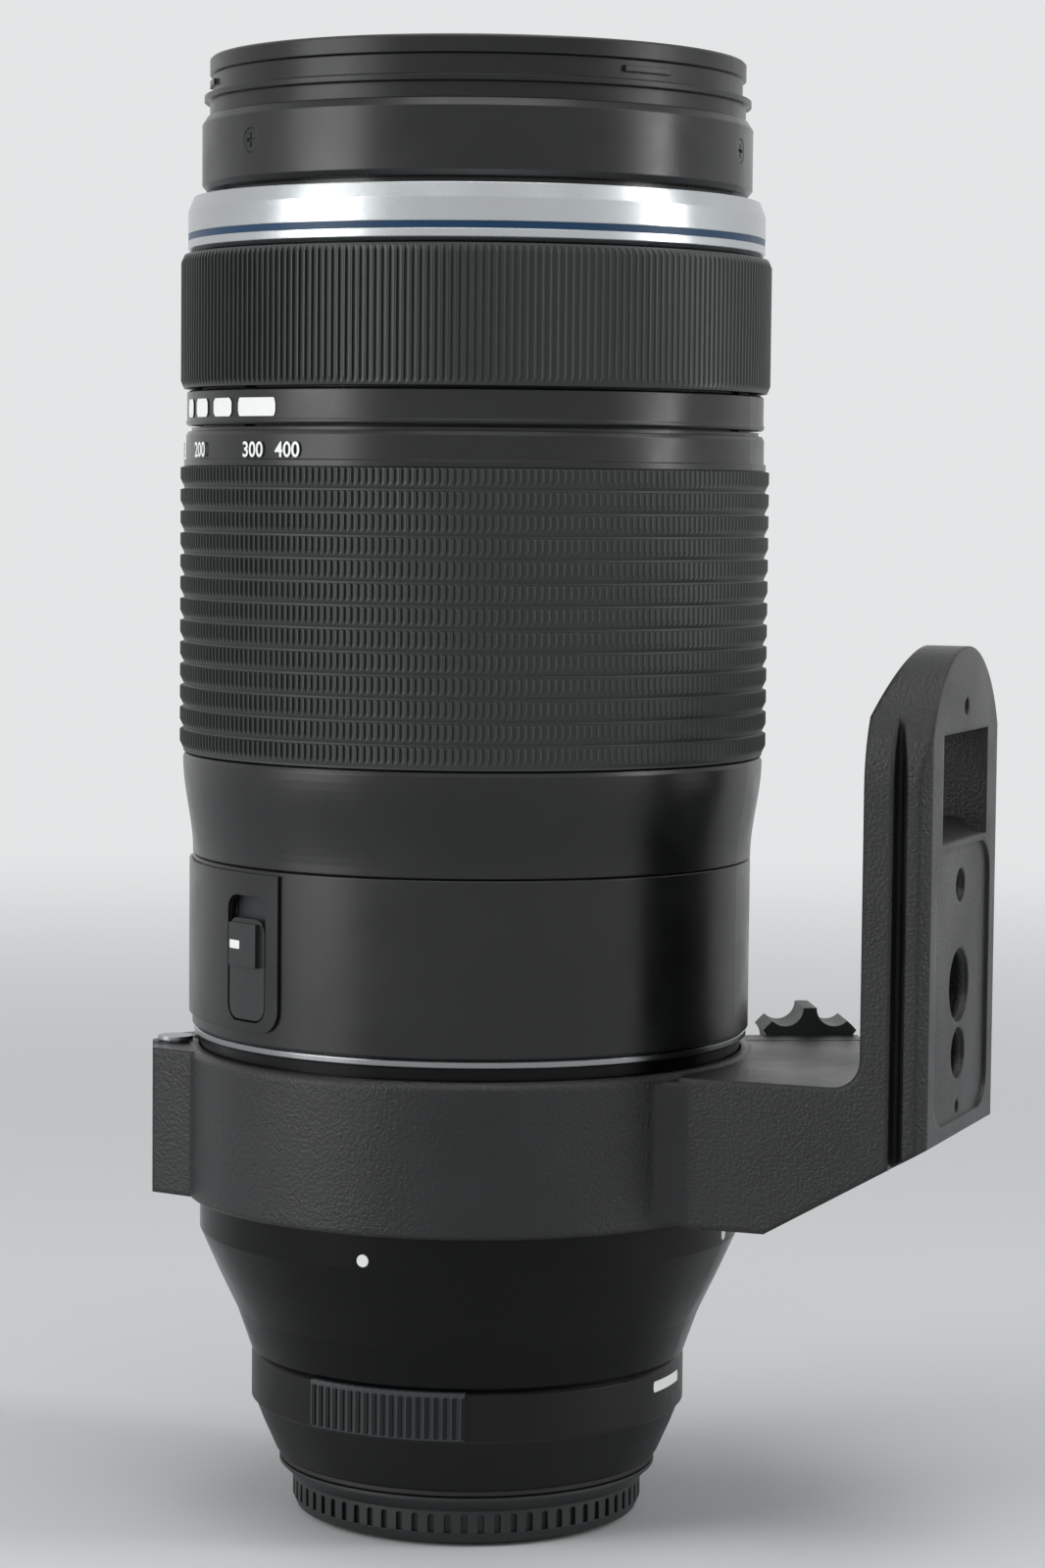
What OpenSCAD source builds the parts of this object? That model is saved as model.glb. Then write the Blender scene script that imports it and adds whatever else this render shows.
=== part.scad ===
// Super telephoto zoom lens standing on its rear cap, with a hinged tripod collar.
// Z runs along the optical axis, the foot points to +X and the index marks face -X.

/* [Length along the axis] */
// Rear cap, from the table to the flange of the mount
cap_h = 7.9; // [7.5:0.1:9]
// Tapered skirt above the mount
skirt_h = 9.1; // [8.5:0.1:10]
// Ribbed band above the skirt
rear_band_h = 7; // [6:0.1:8]
// Black cone between the ribbed band and the collar
cone_h = 18.4; // [16:0.1:20]
// Band under the collar that carries the alignment dots
dot_band_h = 4.9; // [4:0.1:6]
// Height of the tripod collar
collar_h = 22; // [20:0.1:23]
// Neck between the collar and the bright ring
neck_h = 1.7; // [1.2:0.1:2.5]
// Bright ring under the switch barrel
bright_h = 1.3; // [1:0.1:2]
// Switch barrel
switch_barrel_h = 25.1; // [24:0.1:28]
// Flared waist
waist_h = 15; // [12:0.1:18]
// Rubber zoom grip
zoom_h = 41.5; // [38:0.1:46]
// Band with the focal lengths
number_band_h = 5; // [4:0.1:6]
// Fixed band with the index
index_band_h = 5.1; // [4:0.1:6]
// Focus ring
focus_h = 19.3; // [16:0.1:22]
// Silver front ring
silver_h = 8; // [7:0.1:9]
// Front band of the extending barrel
head_h = 10.6; // [9:0.1:12]
// Front rim with the hood groove and the filter thread
rim_h = 8.6; // [8:0.1:10]

/* [Radii] */
// Filter thread, which the rings of the lens are sized from
filter_r = 36; // [35.5:0.1:36.5]
// Front band, outwards from the filter thread
head_step = 4.2; // [4:0.1:5]
// Switch barrel, outwards from the main tube
switch_wall = 1.1; // [0.9:0.1:2]
// Number and index bands, outwards from the main tube
band_wall = 2.3; // [1.9:0.1:2.7]
// Zoom and focus rings, outwards from the main tube
ring_wall = 3.1; // [2.9:0.1:4]
// Silver ring, outwards from the main tube
silver_wall = 2.1; // [1.7:0.1:2.5]
// Seat of the tripod collar, inwards from the front band
seat_step = 0.2; // [0:0.1:0.6]
// Circle of the mount's screws, which the mount end is sized from
mount_screw_pcd_r = 23.6; // [23:0.1:24]
// Flared lip of the rear cap and foot of the skirt, outwards from the screws
lip_step = 4.4; // [4:0.1:5]
// Side of the rear cap, inwards from its lip
cap_step = 2; // [1.5:0.1:2.5]
// Ribbed band, outwards from the lip
rear_band_step = 4.2; // [3.5:0.1:5]
// Foot of the black cone, outwards from the ribbed band
cone_step = 0.2; // [0:0.1:1]

/* [Zoom drive] */
// Travel of the extending barrel
zoom_travel = 70; // [60:1:72]
// Turn of the zoom ring over the same travel, in degrees
zoom_turn = 75; // [60:1:80]
// Travel of the zoom group
group_travel = 28; // [20:1:30]
// Number of raised ribs on the rubber grip
zoom_ribs = 13; // [9:1:15]
// Number of teeth round the focus ring
focus_teeth = 240; // [120:4:260]

/* [Optics] */
// Front element, inwards from the filter thread
front_glass_step = 4; // [3.5:0.1:6]
// Zoom group element
zoom_glass_r = 19; // [16:0.1:20]
// Focus group element
focus_glass_r = 15; // [12:0.1:16]
// Stabiliser element
stabil_glass_r = 13; // [10:0.1:14]
// Rear element
rear_glass_r = 14; // [12:0.1:15]

/* [Tripod collar] */
// Wall of the collar
collar_wall = 1.9; // [1.7:0.1:3]
// Width of the dovetail foot
foot_w = 38; // [36:0.5:38]
// Outer face of the foot, outwards from the collar
foot_reach = 32.8; // [32:0.1:38]
// Thickness of the foot plate
foot_t = 9.4; // [9:0.1:11]
// Top of the foot plate above the arm
foot_rise = 61; // [56:0.5:64]
// Large tripod thread, 3/8 inch
thread_big_r = 4.7625; // [4.7:0.0125:4.8]
// Small tripod thread, 1/4 inch
thread_small_r = 3.175; // [3.1:0.0125:3.2]
// Lobes of the clamp knob
knob_lobes = 8; // [6:1:8]
// Clamp knob, to the tips of its lobes
knob_r = 9.2; // [8.5:0.1:9.5]

/* [Hidden] */
$fn = 120;

// Clearance between pieces that move on each other
run_gap = 0.3;
// Clearance between pieces that are fixed together
fit_gap = 0.1;
// Radial clearance of a rod or pin that guides
pin_gap = 0.05;
// Overrun of every cut
cut = 1;
// Small edge chamfer
edge = 0.6;

// Levels along the axis, from the table up
z_flange = cap_h;
z_skirt = z_flange + skirt_h;
z_cone = z_skirt + rear_band_h;
z_dots = z_cone + cone_h;
z_collar = z_dots + dot_band_h + run_gap;
z_collar_top = z_collar + collar_h;
z_bright = z_collar_top + neck_h;
z_switch = z_bright + bright_h;
z_seam = z_switch + switch_barrel_h;
z_zoom = z_seam + waist_h + run_gap;
z_numbers = z_zoom + zoom_h;
z_index = z_numbers + number_band_h + run_gap + edge;
z_focus = z_index + index_band_h + run_gap;
z_silver = z_focus + focus_h + run_gap;
head_gap = 1;
z_head = z_silver + silver_h + head_gap;
z_rim = z_head + head_h;
z_top = z_rim + rim_h;

// Follower pins: those of the zoom group, so low that their slots stay behind the silver
// ring when the barrel is out, and those of the extending barrel above the seam
zoom_cell_h = 9;
pin_q_hidden = 3.9;
pin_p_rise = 6;
z_pin_q = z_silver + silver_h - zoom_travel - pin_q_hidden;
z_pin_p = z_seam + pin_p_rise;

// Walls and nested radii, from the outside in
wall = 1.2;
head_r = filter_r + head_step;
seat_r = head_r - seat_step;
front_glass_r = filter_r - front_glass_step;
ring_in_r = head_r + fit_gap * 2;
main_r = head_r - fit_gap;
main_in_r = main_r - wall;
cam_r = main_in_r - run_gap;
cam_in_r = cam_r - wall;
slide_r = cam_in_r - run_gap;
slide_in_r = slide_r - wall;
switch_barrel_r = main_r + switch_wall;
band_r = main_r + band_wall;
ring_r = main_r + ring_wall;
silver_r = main_r + silver_wall;
collar_in_r = seat_r + run_gap;
collar_r = collar_in_r + collar_wall;
foot_face_x = collar_r + foot_reach;
lip_r = mount_screw_pcd_r + lip_step;
cap_r = lip_r - cap_step;
rear_band_r = lip_r + rear_band_step;
cone_r = rear_band_r + cone_step;
tail_in_r = seat_r - 2 * wall;
frame_step = 8.1;
frame_r = main_r - frame_step;
frame_in_r = frame_r - wall;

// Bearings round the axis, in degrees from -Y towards +X
az_top = -90;
az_foot = 90;
az_hinge = -68.5;
az_clamp = 116;

// A rotation that takes +X to the bearing a
module at_bearing(a) {
    rotate([0, 0, a - 90]) children();
}

// A tube between two radii
module tube(r_out, r_in, h) {
    difference() {
        cylinder(r = r_out, h = h);
        translate([0, 0, -cut]) cylinder(r = r_in, h = h + 2 * cut);
    }
}

// A body of revolution whose profile is given as radius and height pairs
module turned(points) {
    rotate_extrude() polygon(points);
}

// An angular piece of a ring, centred on +X
module arc_piece(r_out, r_in, h, angle) {
    rotate([0, 0, -angle / 2]) rotate_extrude(angle = angle)
        translate([r_in, 0]) square([r_out - r_in, h]);
}

// A flat rectangle with round corners, from a low to a high edge
module round_rect(half, low, high, c) {
    translate([-half, low + c]) square([2 * half, high - low - 2 * c]);
    translate([c - half, low]) square([2 * half - 2 * c, high - low]);
    for (x = [c - half, half - c]) {
        for (y = [low + c, high - c]) {
            translate([x, y]) circle(r = c);
        }
    }
}

// Half of a shallow dome: radius and height pairs from its rim to its crown
lens_steps = 10;
function dome(r, bulge) = let (big = (r * r + bulge * bulge) / (2 * bulge)) [
    for (i = [lens_steps : -1 : 0])
        let (x = r * i / lens_steps) [x, sqrt(big * big - x * x) - big + bulge]
];

// A lens element: a disc whose two faces are domes, bulging by up and down, with a flat seat below
lens_seat = 1.4;
module lens(r, rim, up, down, seat = lens_seat) {
    over = dome(r, up);
    under = dome(r - seat, down);
    turned(concat(
        [for (p = over) [p[0], rim + p[1]]],
        [for (i = [lens_steps : -1 : 0]) [under[i][0], -under[i][1]]],
        [[r, 0]]
    ));
}

// Rear cap
cap_floor = 1.6;
cap_wall = 1.8;
cap_round = 2;
cap_lip_h = 2.4;
cap_ribs = 68;
cap_rib_share = 0.6;
cap_rib_deep = 0.7;
cap_rib_top = cap_h - run_gap - cap_lip_h;
cap_tab_h = 1.3;
tab_angle = 50;
mount_tab_low = 3.2;
mount_tab_h = 1.6;
mount_tube_step = 4.4;
mount_tube_wall = 1.4;
mount_tab_out = 1.6;
mount_tube_r = mount_screw_pcd_r - mount_tube_step;
mount_tube_in_r = mount_tube_r - mount_tube_wall;
mount_tab_r = mount_tube_r + mount_tab_out;
mount_tube_low = 2.6;
flange_t = 2.2;
flange_r = lip_r - cap_wall / 2;

module rear_cap() {
    top = cap_h - run_gap;
    color("#17181a") {
        difference() {
            turned([
                [0, 0], [cap_r - cap_round, 0], [cap_r - cap_round * 0.3, cap_round * 0.3],
                [cap_r, cap_round], [cap_r, top - cap_lip_h], [lip_r, top - cap_lip_h * 0.2],
                [lip_r, top], [cap_r - cap_wall, top], [cap_r - cap_wall, cap_floor],
                [0, cap_floor]
            ]);
            for (i = [0 : cap_ribs - 1]) {
                rotate([0, 0, i * 360 / cap_ribs])
                    translate([cap_r - cap_rib_deep, 0, cap_round])
                        arc_groove(cap_r, cap_ribs);
            }
        }
        for (i = [0 : 2]) {
            rotate([0, 0, i * 120 + tab_angle])
                translate([0, 0, mount_tab_low + mount_tab_h + run_gap])
                    arc_piece(cap_r - cap_wall + fit_gap, mount_tube_r + run_gap,
                        cap_tab_h, tab_angle);
        }
    }
}

// One upright groove of the cap's grip
module arc_groove(r, count) {
    w = 2 * PI * r / count * (1 - cap_rib_share);
    translate([0, -w / 2, 0]) cube([cap_rib_deep + cut, w, cap_rib_top - cap_round - w]);
    translate([0, 0, cap_rib_top - cap_round - w])
        rotate([0, 90, 0]) cylinder(d = w, h = cap_rib_deep + cut, $fn = 24);
}

// Bayonet mount, its screws, gasket and contacts
mount_screw_r = 0.85;
mount_head_r = 1.6;
mount_head_h = 0.9;
mount_screw_len = 6;

module mount_ring() {
    color("#c9ccce") difference() {
        union() {
            translate([0, 0, z_flange]) cylinder(r = flange_r, h = flange_t);
            translate([0, 0, mount_tube_low])
                cylinder(r = mount_tube_r, h = z_flange - mount_tube_low + flange_t);
            for (i = [0 : 2]) {
                rotate([0, 0, i * 120])
                    translate([0, 0, mount_tab_low])
                        arc_piece(mount_tab_r, mount_tube_r - wall, mount_tab_h, tab_angle);
            }
        }
        translate([0, 0, mount_tube_low - cut])
            cylinder(r = mount_tube_in_r, h = z_flange + flange_t + 2 * cut);
        mount_screw_places() {
            translate([0, 0, -cut]) cylinder(r = mount_screw_r + fit_gap, h = flange_t + 2 * cut);
            translate([0, 0, -cut])
                cylinder(r = mount_head_r + fit_gap, h = mount_head_h + cut);
        }
    }
}

// The four screws sit between the bayonet tabs, at the flange
module mount_screw_places() {
    for (a = [45 : 90 : 315]) {
        rotate([0, 0, a]) translate([mount_screw_pcd_r, 0, z_flange]) children();
    }
}

module mount_screws() {
    color("#8f9295") mount_screw_places() {
        difference() {
            union() {
                cylinder(r = mount_head_r, h = mount_head_h);
                cylinder(r = mount_screw_r, h = mount_screw_len);
            }
            cross_recess(mount_head_r, mount_head_h);
        }
    }
}

// Cross recess cut into the underside of a screw head
module cross_recess(r, h) {
    slot_share = 0.25;
    deep_share = 0.5;
    for (a = [0, 90]) {
        rotate([0, 0, a]) translate([-r * 0.6, -r * slot_share / 2, -cut])
            cube([r * 1.2, r * slot_share, h * deep_share + cut]);
    }
}

gasket_t = 0.7;

module mount_gasket() {
    color("#0e0e0f") translate([0, 0, z_flange])
        tube(lip_r - fit_gap, flange_r + fit_gap / 2, gasket_t);
}

contact_angle = 54;
contact_pins = 11;
contact_pin_d = 0.8;
contact_t = 2.4;

module contact_block() {
    step = contact_angle / (contact_pins + 1);
    color("#141516") translate([0, 0, mount_tube_low])
        arc_piece(mount_tube_in_r - fit_gap, mount_tube_in_r - contact_t,
            z_flange + flange_t - mount_tube_low, contact_angle);
    color("#d8b45a") for (i = [0 : contact_pins - 1]) {
        rotate([0, 0, (i - (contact_pins - 1) / 2) * step])
            translate([mount_tube_in_r - contact_t / 2, 0, mount_tube_low - contact_pin_d / 2])
                cylinder(d = contact_pin_d, h = contact_pin_d);
    }
}

// Skirt with the ribbed band
skirt_wall = 2.2;
skirt_in_r = rear_band_r - skirt_wall;
grip_ribs = 19;
grip_angle = 44;
grip_high = 0.45;
grip_rib_share = 0.5;
grip_rib_end = 0.25;

module rear_skirt() {
    low = z_flange + gasket_t;
    color("#1a1b1d") difference() {
        union() {
            turned([
                [0, low], [lip_r, low], [lip_r + edge, low + edge * 1.2],
                [skirt_at(0.45), z_flange + skirt_h * 0.62], [rear_band_r - edge, z_skirt - edge],
                [rear_band_r, z_skirt], [rear_band_r, z_cone - edge],
                [rear_band_r - edge, z_cone], [0, z_cone]
            ]);
            for (side = [0, 180]) {
                for (i = [0 : grip_ribs - 1]) {
                    at_bearing(side + (i - (grip_ribs - 1) / 2) * grip_angle / grip_ribs)
                        translate([rear_band_r - 2 * edge, 0, z_skirt + grip_rib_end])
                            grip_rib();
                }
            }
        }
        translate([0, 0, low - cut])
            cylinder(r = flange_r + fit_gap, h = z_flange + flange_t - low + cut);
        translate([0, 0, low - cut]) cylinder(r = mount_screw_pcd_r - mount_head_r * 2,
            h = z_cone);
        translate([0, 0, z_flange + flange_t + mount_screw_len])
            cylinder(r = skirt_in_r, h = z_cone);
        mount_screw_places() cylinder(r = mount_screw_r + pin_gap, h = mount_screw_len + edge);
    }
}

// Radius of the skirt a share of the way from its foot to the ribbed band
function skirt_at(s) = lip_r + (rear_band_r - lip_r) * s + edge;

// One upright rib of the grip on the rear band
module grip_rib() {
    w = 2 * PI * rear_band_r * grip_angle / 360 / grip_ribs * grip_rib_share;
    translate([0, -w / 2, 0])
        cube([2 * edge + grip_high, w, rear_band_h - edge - 2 * grip_rib_end]);
}

// Inside the skirt: baffle, board and flexible circuit
baffle_t = 1.2;
baffle_r = 14;
board_t = 1.2;
chip_h = 1;
flex_t = 0.3;
flex_w = 8;

module rear_baffle() {
    color("#101011") translate([0, 0, z_flange + flange_t])
        tube(mount_screw_pcd_r - mount_head_r * 2 - fit_gap, baffle_r, baffle_t);
}

module main_board() {
    z = z_flange + flange_t + mount_screw_len;
    r = skirt_in_r - fit_gap;
    color("#1d5a3a") translate([0, 0, z]) tube(r, mount_screw_pcd_r - mount_head_r * 2, board_t);
    color("#1a1a1c") for (a = [20 : 40 : 340]) {
        rotate([0, 0, a]) translate([r * 0.75, -r * 0.08, z + board_t / 2])
            cube([r * 0.16, r * 0.16, chip_h + board_t / 2]);
    }
}

module flex_circuit() {
    z = z_flange + flange_t + mount_screw_len + board_t;
    color("#b5762a") at_bearing(az_top)
        translate([skirt_in_r - flex_t - edge, -flex_w / 2, z])
            cube([flex_t, flex_w, z_rear_cell + rear_cell_h - wall - edge - z]);
}

// Tail barrel: the black cone, the dotted band and the collar's seat
tail_wall = 3.5;
cone_low_share = 0.27;
cone_low_at_share = 0.35;
cone_mid_share = 0.63;
cone_mid_at_share = 0.66;
spigot_r = frame_r + 2 * pin_gap;
spigot_h = 2.8;
ledge_drop = 3.4;
dot_d = 1.8;
dot_deep = 0.4;
dot_sunk = 0.03;

module tail_barrel() {
    ledge = z_bright - ledge_drop;
    color("#131415") difference() {
        turned([
            [skirt_in_r + fit_gap, z_cone], [cone_r - edge, z_cone], [cone_r, z_cone + edge],
            [cone_r + (seat_r - cone_r) * cone_low_share, z_cone + cone_h * cone_low_at_share],
            [cone_r + (seat_r - cone_r) * cone_mid_share, z_cone + cone_h * cone_mid_at_share],
            [seat_r, z_dots],
            [seat_r, z_bright], [tail_in_r, z_bright], [tail_in_r, ledge],
            [tail_in_r - tail_wall, ledge], [tail_in_r - tail_wall, z_dots],
            [spigot_r, frame_low + spigot_h], [spigot_r, frame_low - edge]
        ]);
        dot_places() cylinder(d = dot_d + fit_gap, h = dot_deep + cut);
        frame_screw_places() cylinder(r = frame_screw_r + pin_gap, h = 2 * frame_screw_len,
            center = true);
    }
}

// Four alignment dots, one for each quarter turn of the collar
module dot_places() {
    for (a = [0 : 90 : 270]) {
        at_bearing(a) translate([seat_r - dot_deep, 0, z_dots + dot_band_h * 0.27])
            rotate([0, 90, 0]) children();
    }
}

module alignment_dots() {
    color("#f2f2ee") dot_places() cylinder(d = dot_d, h = dot_deep - dot_sunk);
}

module bright_ring() {
    color("#8d9092") translate([0, 0, z_bright]) turned([
        [tail_in_r + edge / 2, 0], [seat_r + edge, 0], [seat_r + edge * 1.5, edge / 2],
        [seat_r + edge * 1.5, bright_h - edge / 2], [seat_r + edge, bright_h],
        [tail_in_r + edge / 2, bright_h]
    ]);
}

// Optics frame: the inner tube that carries the fixed groups, with its screws
frame_screws_n = 6;
frame_screw_r = 0.9;
frame_screw_len = 5;
frame_flange_t = 2.2;
frame_low = z_cone + 0.45 * cone_h;
frame_top = z_pin_q + group_travel + zoom_cell_h / 2 + edge;

module frame_screw_places() {
    for (i = [0 : frame_screws_n - 1]) {
        rotate([0, 0, (i + 0.5) * 360 / frame_screws_n])
            translate([tail_in_r - tail_wall * 0.5, 0, z_bright - ledge_drop])
                children();
    }
}

module optics_frame() {
    ledge = z_bright - ledge_drop;
    color("#26282a") difference() {
        union() {
            translate([0, 0, frame_low]) tube(frame_r, frame_in_r, frame_top - frame_low);
            translate([0, 0, ledge]) tube(tail_in_r - fit_gap, frame_in_r, frame_flange_t);
            translate([0, 0, z_stabil - stabil_base_t - wall])
                tube(frame_r, stabil_glass_r + 4 * wall, wall);
            translate([0, 0, z_rods - wall]) tube(frame_r, focus_glass_r + 2 * wall, wall);
            translate([0, 0, z_rear_cell + rear_cell_h - wall])
                tube(frame_r, rear_glass_r + 2 * wall + fit_gap, wall);
        }
        frame_screw_places() cylinder(r = frame_screw_r + pin_gap, h = 3 * frame_flange_t,
            center = true);
        rod_places() translate([0, 0, z_rods - 2 * wall])
            cylinder(r = rod_r + pin_gap / 2, h = 2 * wall);
        for (a = az_pins_q) {
            straight_slot(a, frame_r, z_pin_q, z_pin_q + group_travel);
        }
    }
}

module frame_screws() {
    color("#77797b") frame_screw_places() {
        translate([0, 0, frame_flange_t]) difference() {
            union() {
                cylinder(r = 2 * frame_screw_r - edge / 2, h = frame_screw_r);
                translate([0, 0, -frame_screw_len]) cylinder(r = frame_screw_r, h = frame_screw_len);
            }
            translate([0, 0, frame_screw_r]) rotate([180, 0, 0])
                cross_recess(frame_screw_r * 1.5, frame_screw_r);
        }
    }
}

// Rear group, fixed
rear_cell_rise = 1.8;
z_rear_cell = z_cone + rear_cell_rise;
rear_rim = 4;
rear_lip = 1.2;
rear_cell_tail = 4;
rear_cell_h = rear_rim + 2 * rear_lip + rear_cell_tail;

module rear_cell() {
    r = rear_glass_r + 2 * wall;
    color("#2a2c2e") translate([0, 0, z_rear_cell]) {
        difference() {
            cylinder(r = r, h = rear_cell_h);
            translate([0, 0, rear_lip])
                cylinder(r = rear_glass_r + fit_gap, h = rear_cell_h);
            translate([0, 0, -cut]) cylinder(r = rear_glass_r - rear_lip, h = rear_cell_h);
        }
        translate([0, 0, rear_cell_h]) tube(r + 2 * wall, rear_glass_r + fit_gap, wall);
    }
}

module rear_element() {
    color("#bcd3dc") translate([0, 0, z_rear_cell + rear_lip])
        lens(rear_glass_r, rear_rim - rear_lip, 1.5 * rear_lip, rear_lip / 2);
}

// Aperture unit: a housing with its blades, on the frame's rear plate
aperture_h = 6;
blades = 9;
blade_t = 0.2;
z_aperture = z_rear_cell + rear_cell_h + wall;
aperture_r = 12;

module aperture_unit() {
    color("#1b1c1d") translate([0, 0, z_aperture]) difference() {
        cylinder(r = frame_in_r - fit_gap, h = aperture_h);
        translate([0, 0, -cut]) cylinder(r = aperture_r, h = aperture_h + 2 * cut);
        translate([0, 0, wall])
            cylinder(r = frame_in_r - wall - fit_gap, h = aperture_h - 2 * wall);
    }
}

module aperture_blades() {
    step = (aperture_h - 2 * wall - edge) / blades;
    color("#0c0c0d") for (i = [0 : blades - 1]) {
        rotate([0, 0, i * 360 / blades])
            translate([0, 0, z_aperture + wall + fit_gap + i * step])
                linear_extrude(blade_t) blade_shape();
    }
}

// One crescent blade, swung clear of the opening, with its pivot end
module blade_shape() {
    difference() {
        intersection() {
            circle(r = frame_in_r - 2 * wall - fit_gap);
            translate([aperture_r * 0.7, aperture_r * 0.25]) circle(r = aperture_r * 1.6);
            translate([0, -aperture_r]) square([frame_r, frame_r + aperture_r]);
        }
        circle(r = aperture_r + 1.5 * wall);
    }
}

// Stabiliser: a base, a carriage that slides along X and a cell that slides along Y
stabil_base_t = 2;
stabil_half = 20;
stabil_rail = 2;
stabil_rail_len = 30;
stabil_cell_h = 7;
stabil_rise = 5;
z_stabil = z_aperture + aperture_h + stabil_base_t + stabil_rise;
z_carriage = z_stabil + run_gap;
z_stabil_cell = z_carriage + stabil_base_t + run_gap;
cell_half = stabil_half - 2 * stabil_rail;

module stabiliser_base() {
    color("#3b3e41") translate([0, 0, z_stabil - stabil_base_t]) difference() {
        union() {
            cylinder(r = frame_in_r - fit_gap, h = stabil_base_t);
            for (side = [-1, 1]) {
                translate([-stabil_rail_len / 2,
                    side * (stabil_half + run_gap + stabil_rail / 2) - stabil_rail / 2, 0])
                    cube([stabil_rail_len, stabil_rail, 2 * stabil_base_t + run_gap]);
            }
        }
        translate([0, 0, -cut])
            cylinder(r = stabil_glass_r + 2 * wall, h = stabil_base_t + 2 * cut);
    }
}

module stabiliser_carriage() {
    color("#55595c") translate([0, 0, z_carriage]) difference() {
        union() {
            translate([-stabil_half, -stabil_half, 0])
                cube([2 * stabil_half, 2 * stabil_half, stabil_base_t]);
            for (side = [-1, 1]) {
                translate([side * (cell_half + run_gap + stabil_rail / 2) - stabil_rail / 2,
                    -stabil_rail_len / 2, 0])
                    cube([stabil_rail, stabil_rail_len, 2 * stabil_base_t + run_gap]);
            }
        }
        translate([0, 0, -cut])
            cylinder(r = stabil_glass_r + 2 * wall, h = stabil_base_t + 2 * cut);
    }
}

module stabiliser_cell() {
    color("#2f3234") translate([0, 0, z_stabil_cell]) difference() {
        union() {
            translate([-cell_half, -cell_half, 0])
                cube([2 * cell_half, 2 * cell_half, stabil_base_t]);
            cylinder(r = stabil_glass_r + wall, h = stabil_cell_h);
        }
        translate([0, 0, wall]) cylinder(r = stabil_glass_r + fit_gap, h = stabil_cell_h);
        translate([0, 0, -cut]) cylinder(r = stabil_glass_r - wall, h = stabil_cell_h);
    }
}

module stabiliser_element() {
    color("#bcd3dc") translate([0, 0, z_stabil_cell + wall])
        lens(stabil_glass_r, stabil_cell_h / 2, wall, wall / 2);
}

// Guide rods and the focus group with its linear motor
rod_r = 1.25;
rod_ring_step = 4.8;
rod_ring_r = frame_in_r - rod_ring_step;
rod_boss_r = 3;
rod_cap_t = 1.5;
rods_rise = 3;
z_rods = z_stabil_cell + stabil_cell_h + rods_rise;
focus_cell_h = 12;
focus_arm_t = 2;
coil_x = 25;
coil_t = 1.4;
coil_w = 10;
yoke_t = 2;
yoke_h = 12;
z_focus_cell = z_rods + yoke_t + focus_arm_t;

module rod_places() {
    for (a = [0, 180]) {
        at_bearing(a) translate([rod_ring_r, 0, 0]) children();
    }
}

module guide_rods() {
    color("#c4c7c9") rod_places() translate([0, 0, z_rods - wall])
        cylinder(r = rod_r, h = frame_top - z_rods + wall + rod_cap_t);
}

module rod_cap() {
    color("#3b3e41") difference() {
        translate([0, 0, frame_top]) tube(frame_r, zoom_glass_r + wall, rod_cap_t);
        rod_places() translate([0, 0, frame_top - cut])
            cylinder(r = rod_r + pin_gap / 2, h = rod_cap_t + 2 * cut);
    }
}

module focus_motor() {
    color("#6c7073") for (a = [az_foot, az_top]) {
        at_bearing(a) translate([coil_x, 0, z_rods]) {
            for (side = [-1, 1]) {
                translate([side * (coil_t / 2 + edge + yoke_t / 2) - yoke_t / 2, -coil_w / 2, 0])
                    cube([yoke_t, coil_w, yoke_h]);
            }
            translate([-coil_t / 2 - edge - yoke_t, -coil_w / 2, 0])
                cube([coil_t + 2 * edge + 2 * yoke_t, coil_w, yoke_t]);
        }
    }
}

module focus_cell() {
    color("#2f3234") translate([0, 0, z_focus_cell]) difference() {
        union() {
            cylinder(r = focus_glass_r + wall, h = focus_cell_h);
            for (a = [az_foot, az_top]) {
                at_bearing(a) {
                    translate([0, -coil_w / 2, focus_cell_h - focus_arm_t])
                        cube([coil_x + coil_t / 2, coil_w, focus_arm_t]);
                    translate([coil_x - coil_t / 2, -coil_w / 2, 0])
                        cube([coil_t, coil_w, focus_cell_h]);
                }
            }
            rod_places() cylinder(r = rod_boss_r, h = focus_cell_h);
            translate([-rod_boss_r / 2, -rod_ring_r, 0])
                cube([rod_boss_r, 2 * rod_ring_r, focus_cell_h]);
        }
        rod_places() translate([0, 0, -cut])
            cylinder(r = rod_r + pin_gap, h = focus_cell_h + 2 * cut);
        translate([0, 0, wall]) cylinder(r = focus_glass_r + fit_gap, h = focus_cell_h);
        translate([0, 0, -cut]) cylinder(r = focus_glass_r - wall, h = focus_cell_h);
    }
}

module focus_element() {
    color("#bcd3dc") translate([0, 0, z_focus_cell + wall])
        lens(focus_glass_r, focus_cell_h / 3, wall, wall / 2);
}

// Zoom group: its cell runs on the same rods, and three pins reach out to the cam barrel
pin_r = 1.5;
az_pins_q = [30, 150, 270];
az_pins_p = [90, 210, 330];
slot_r = pin_r + run_gap;

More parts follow.
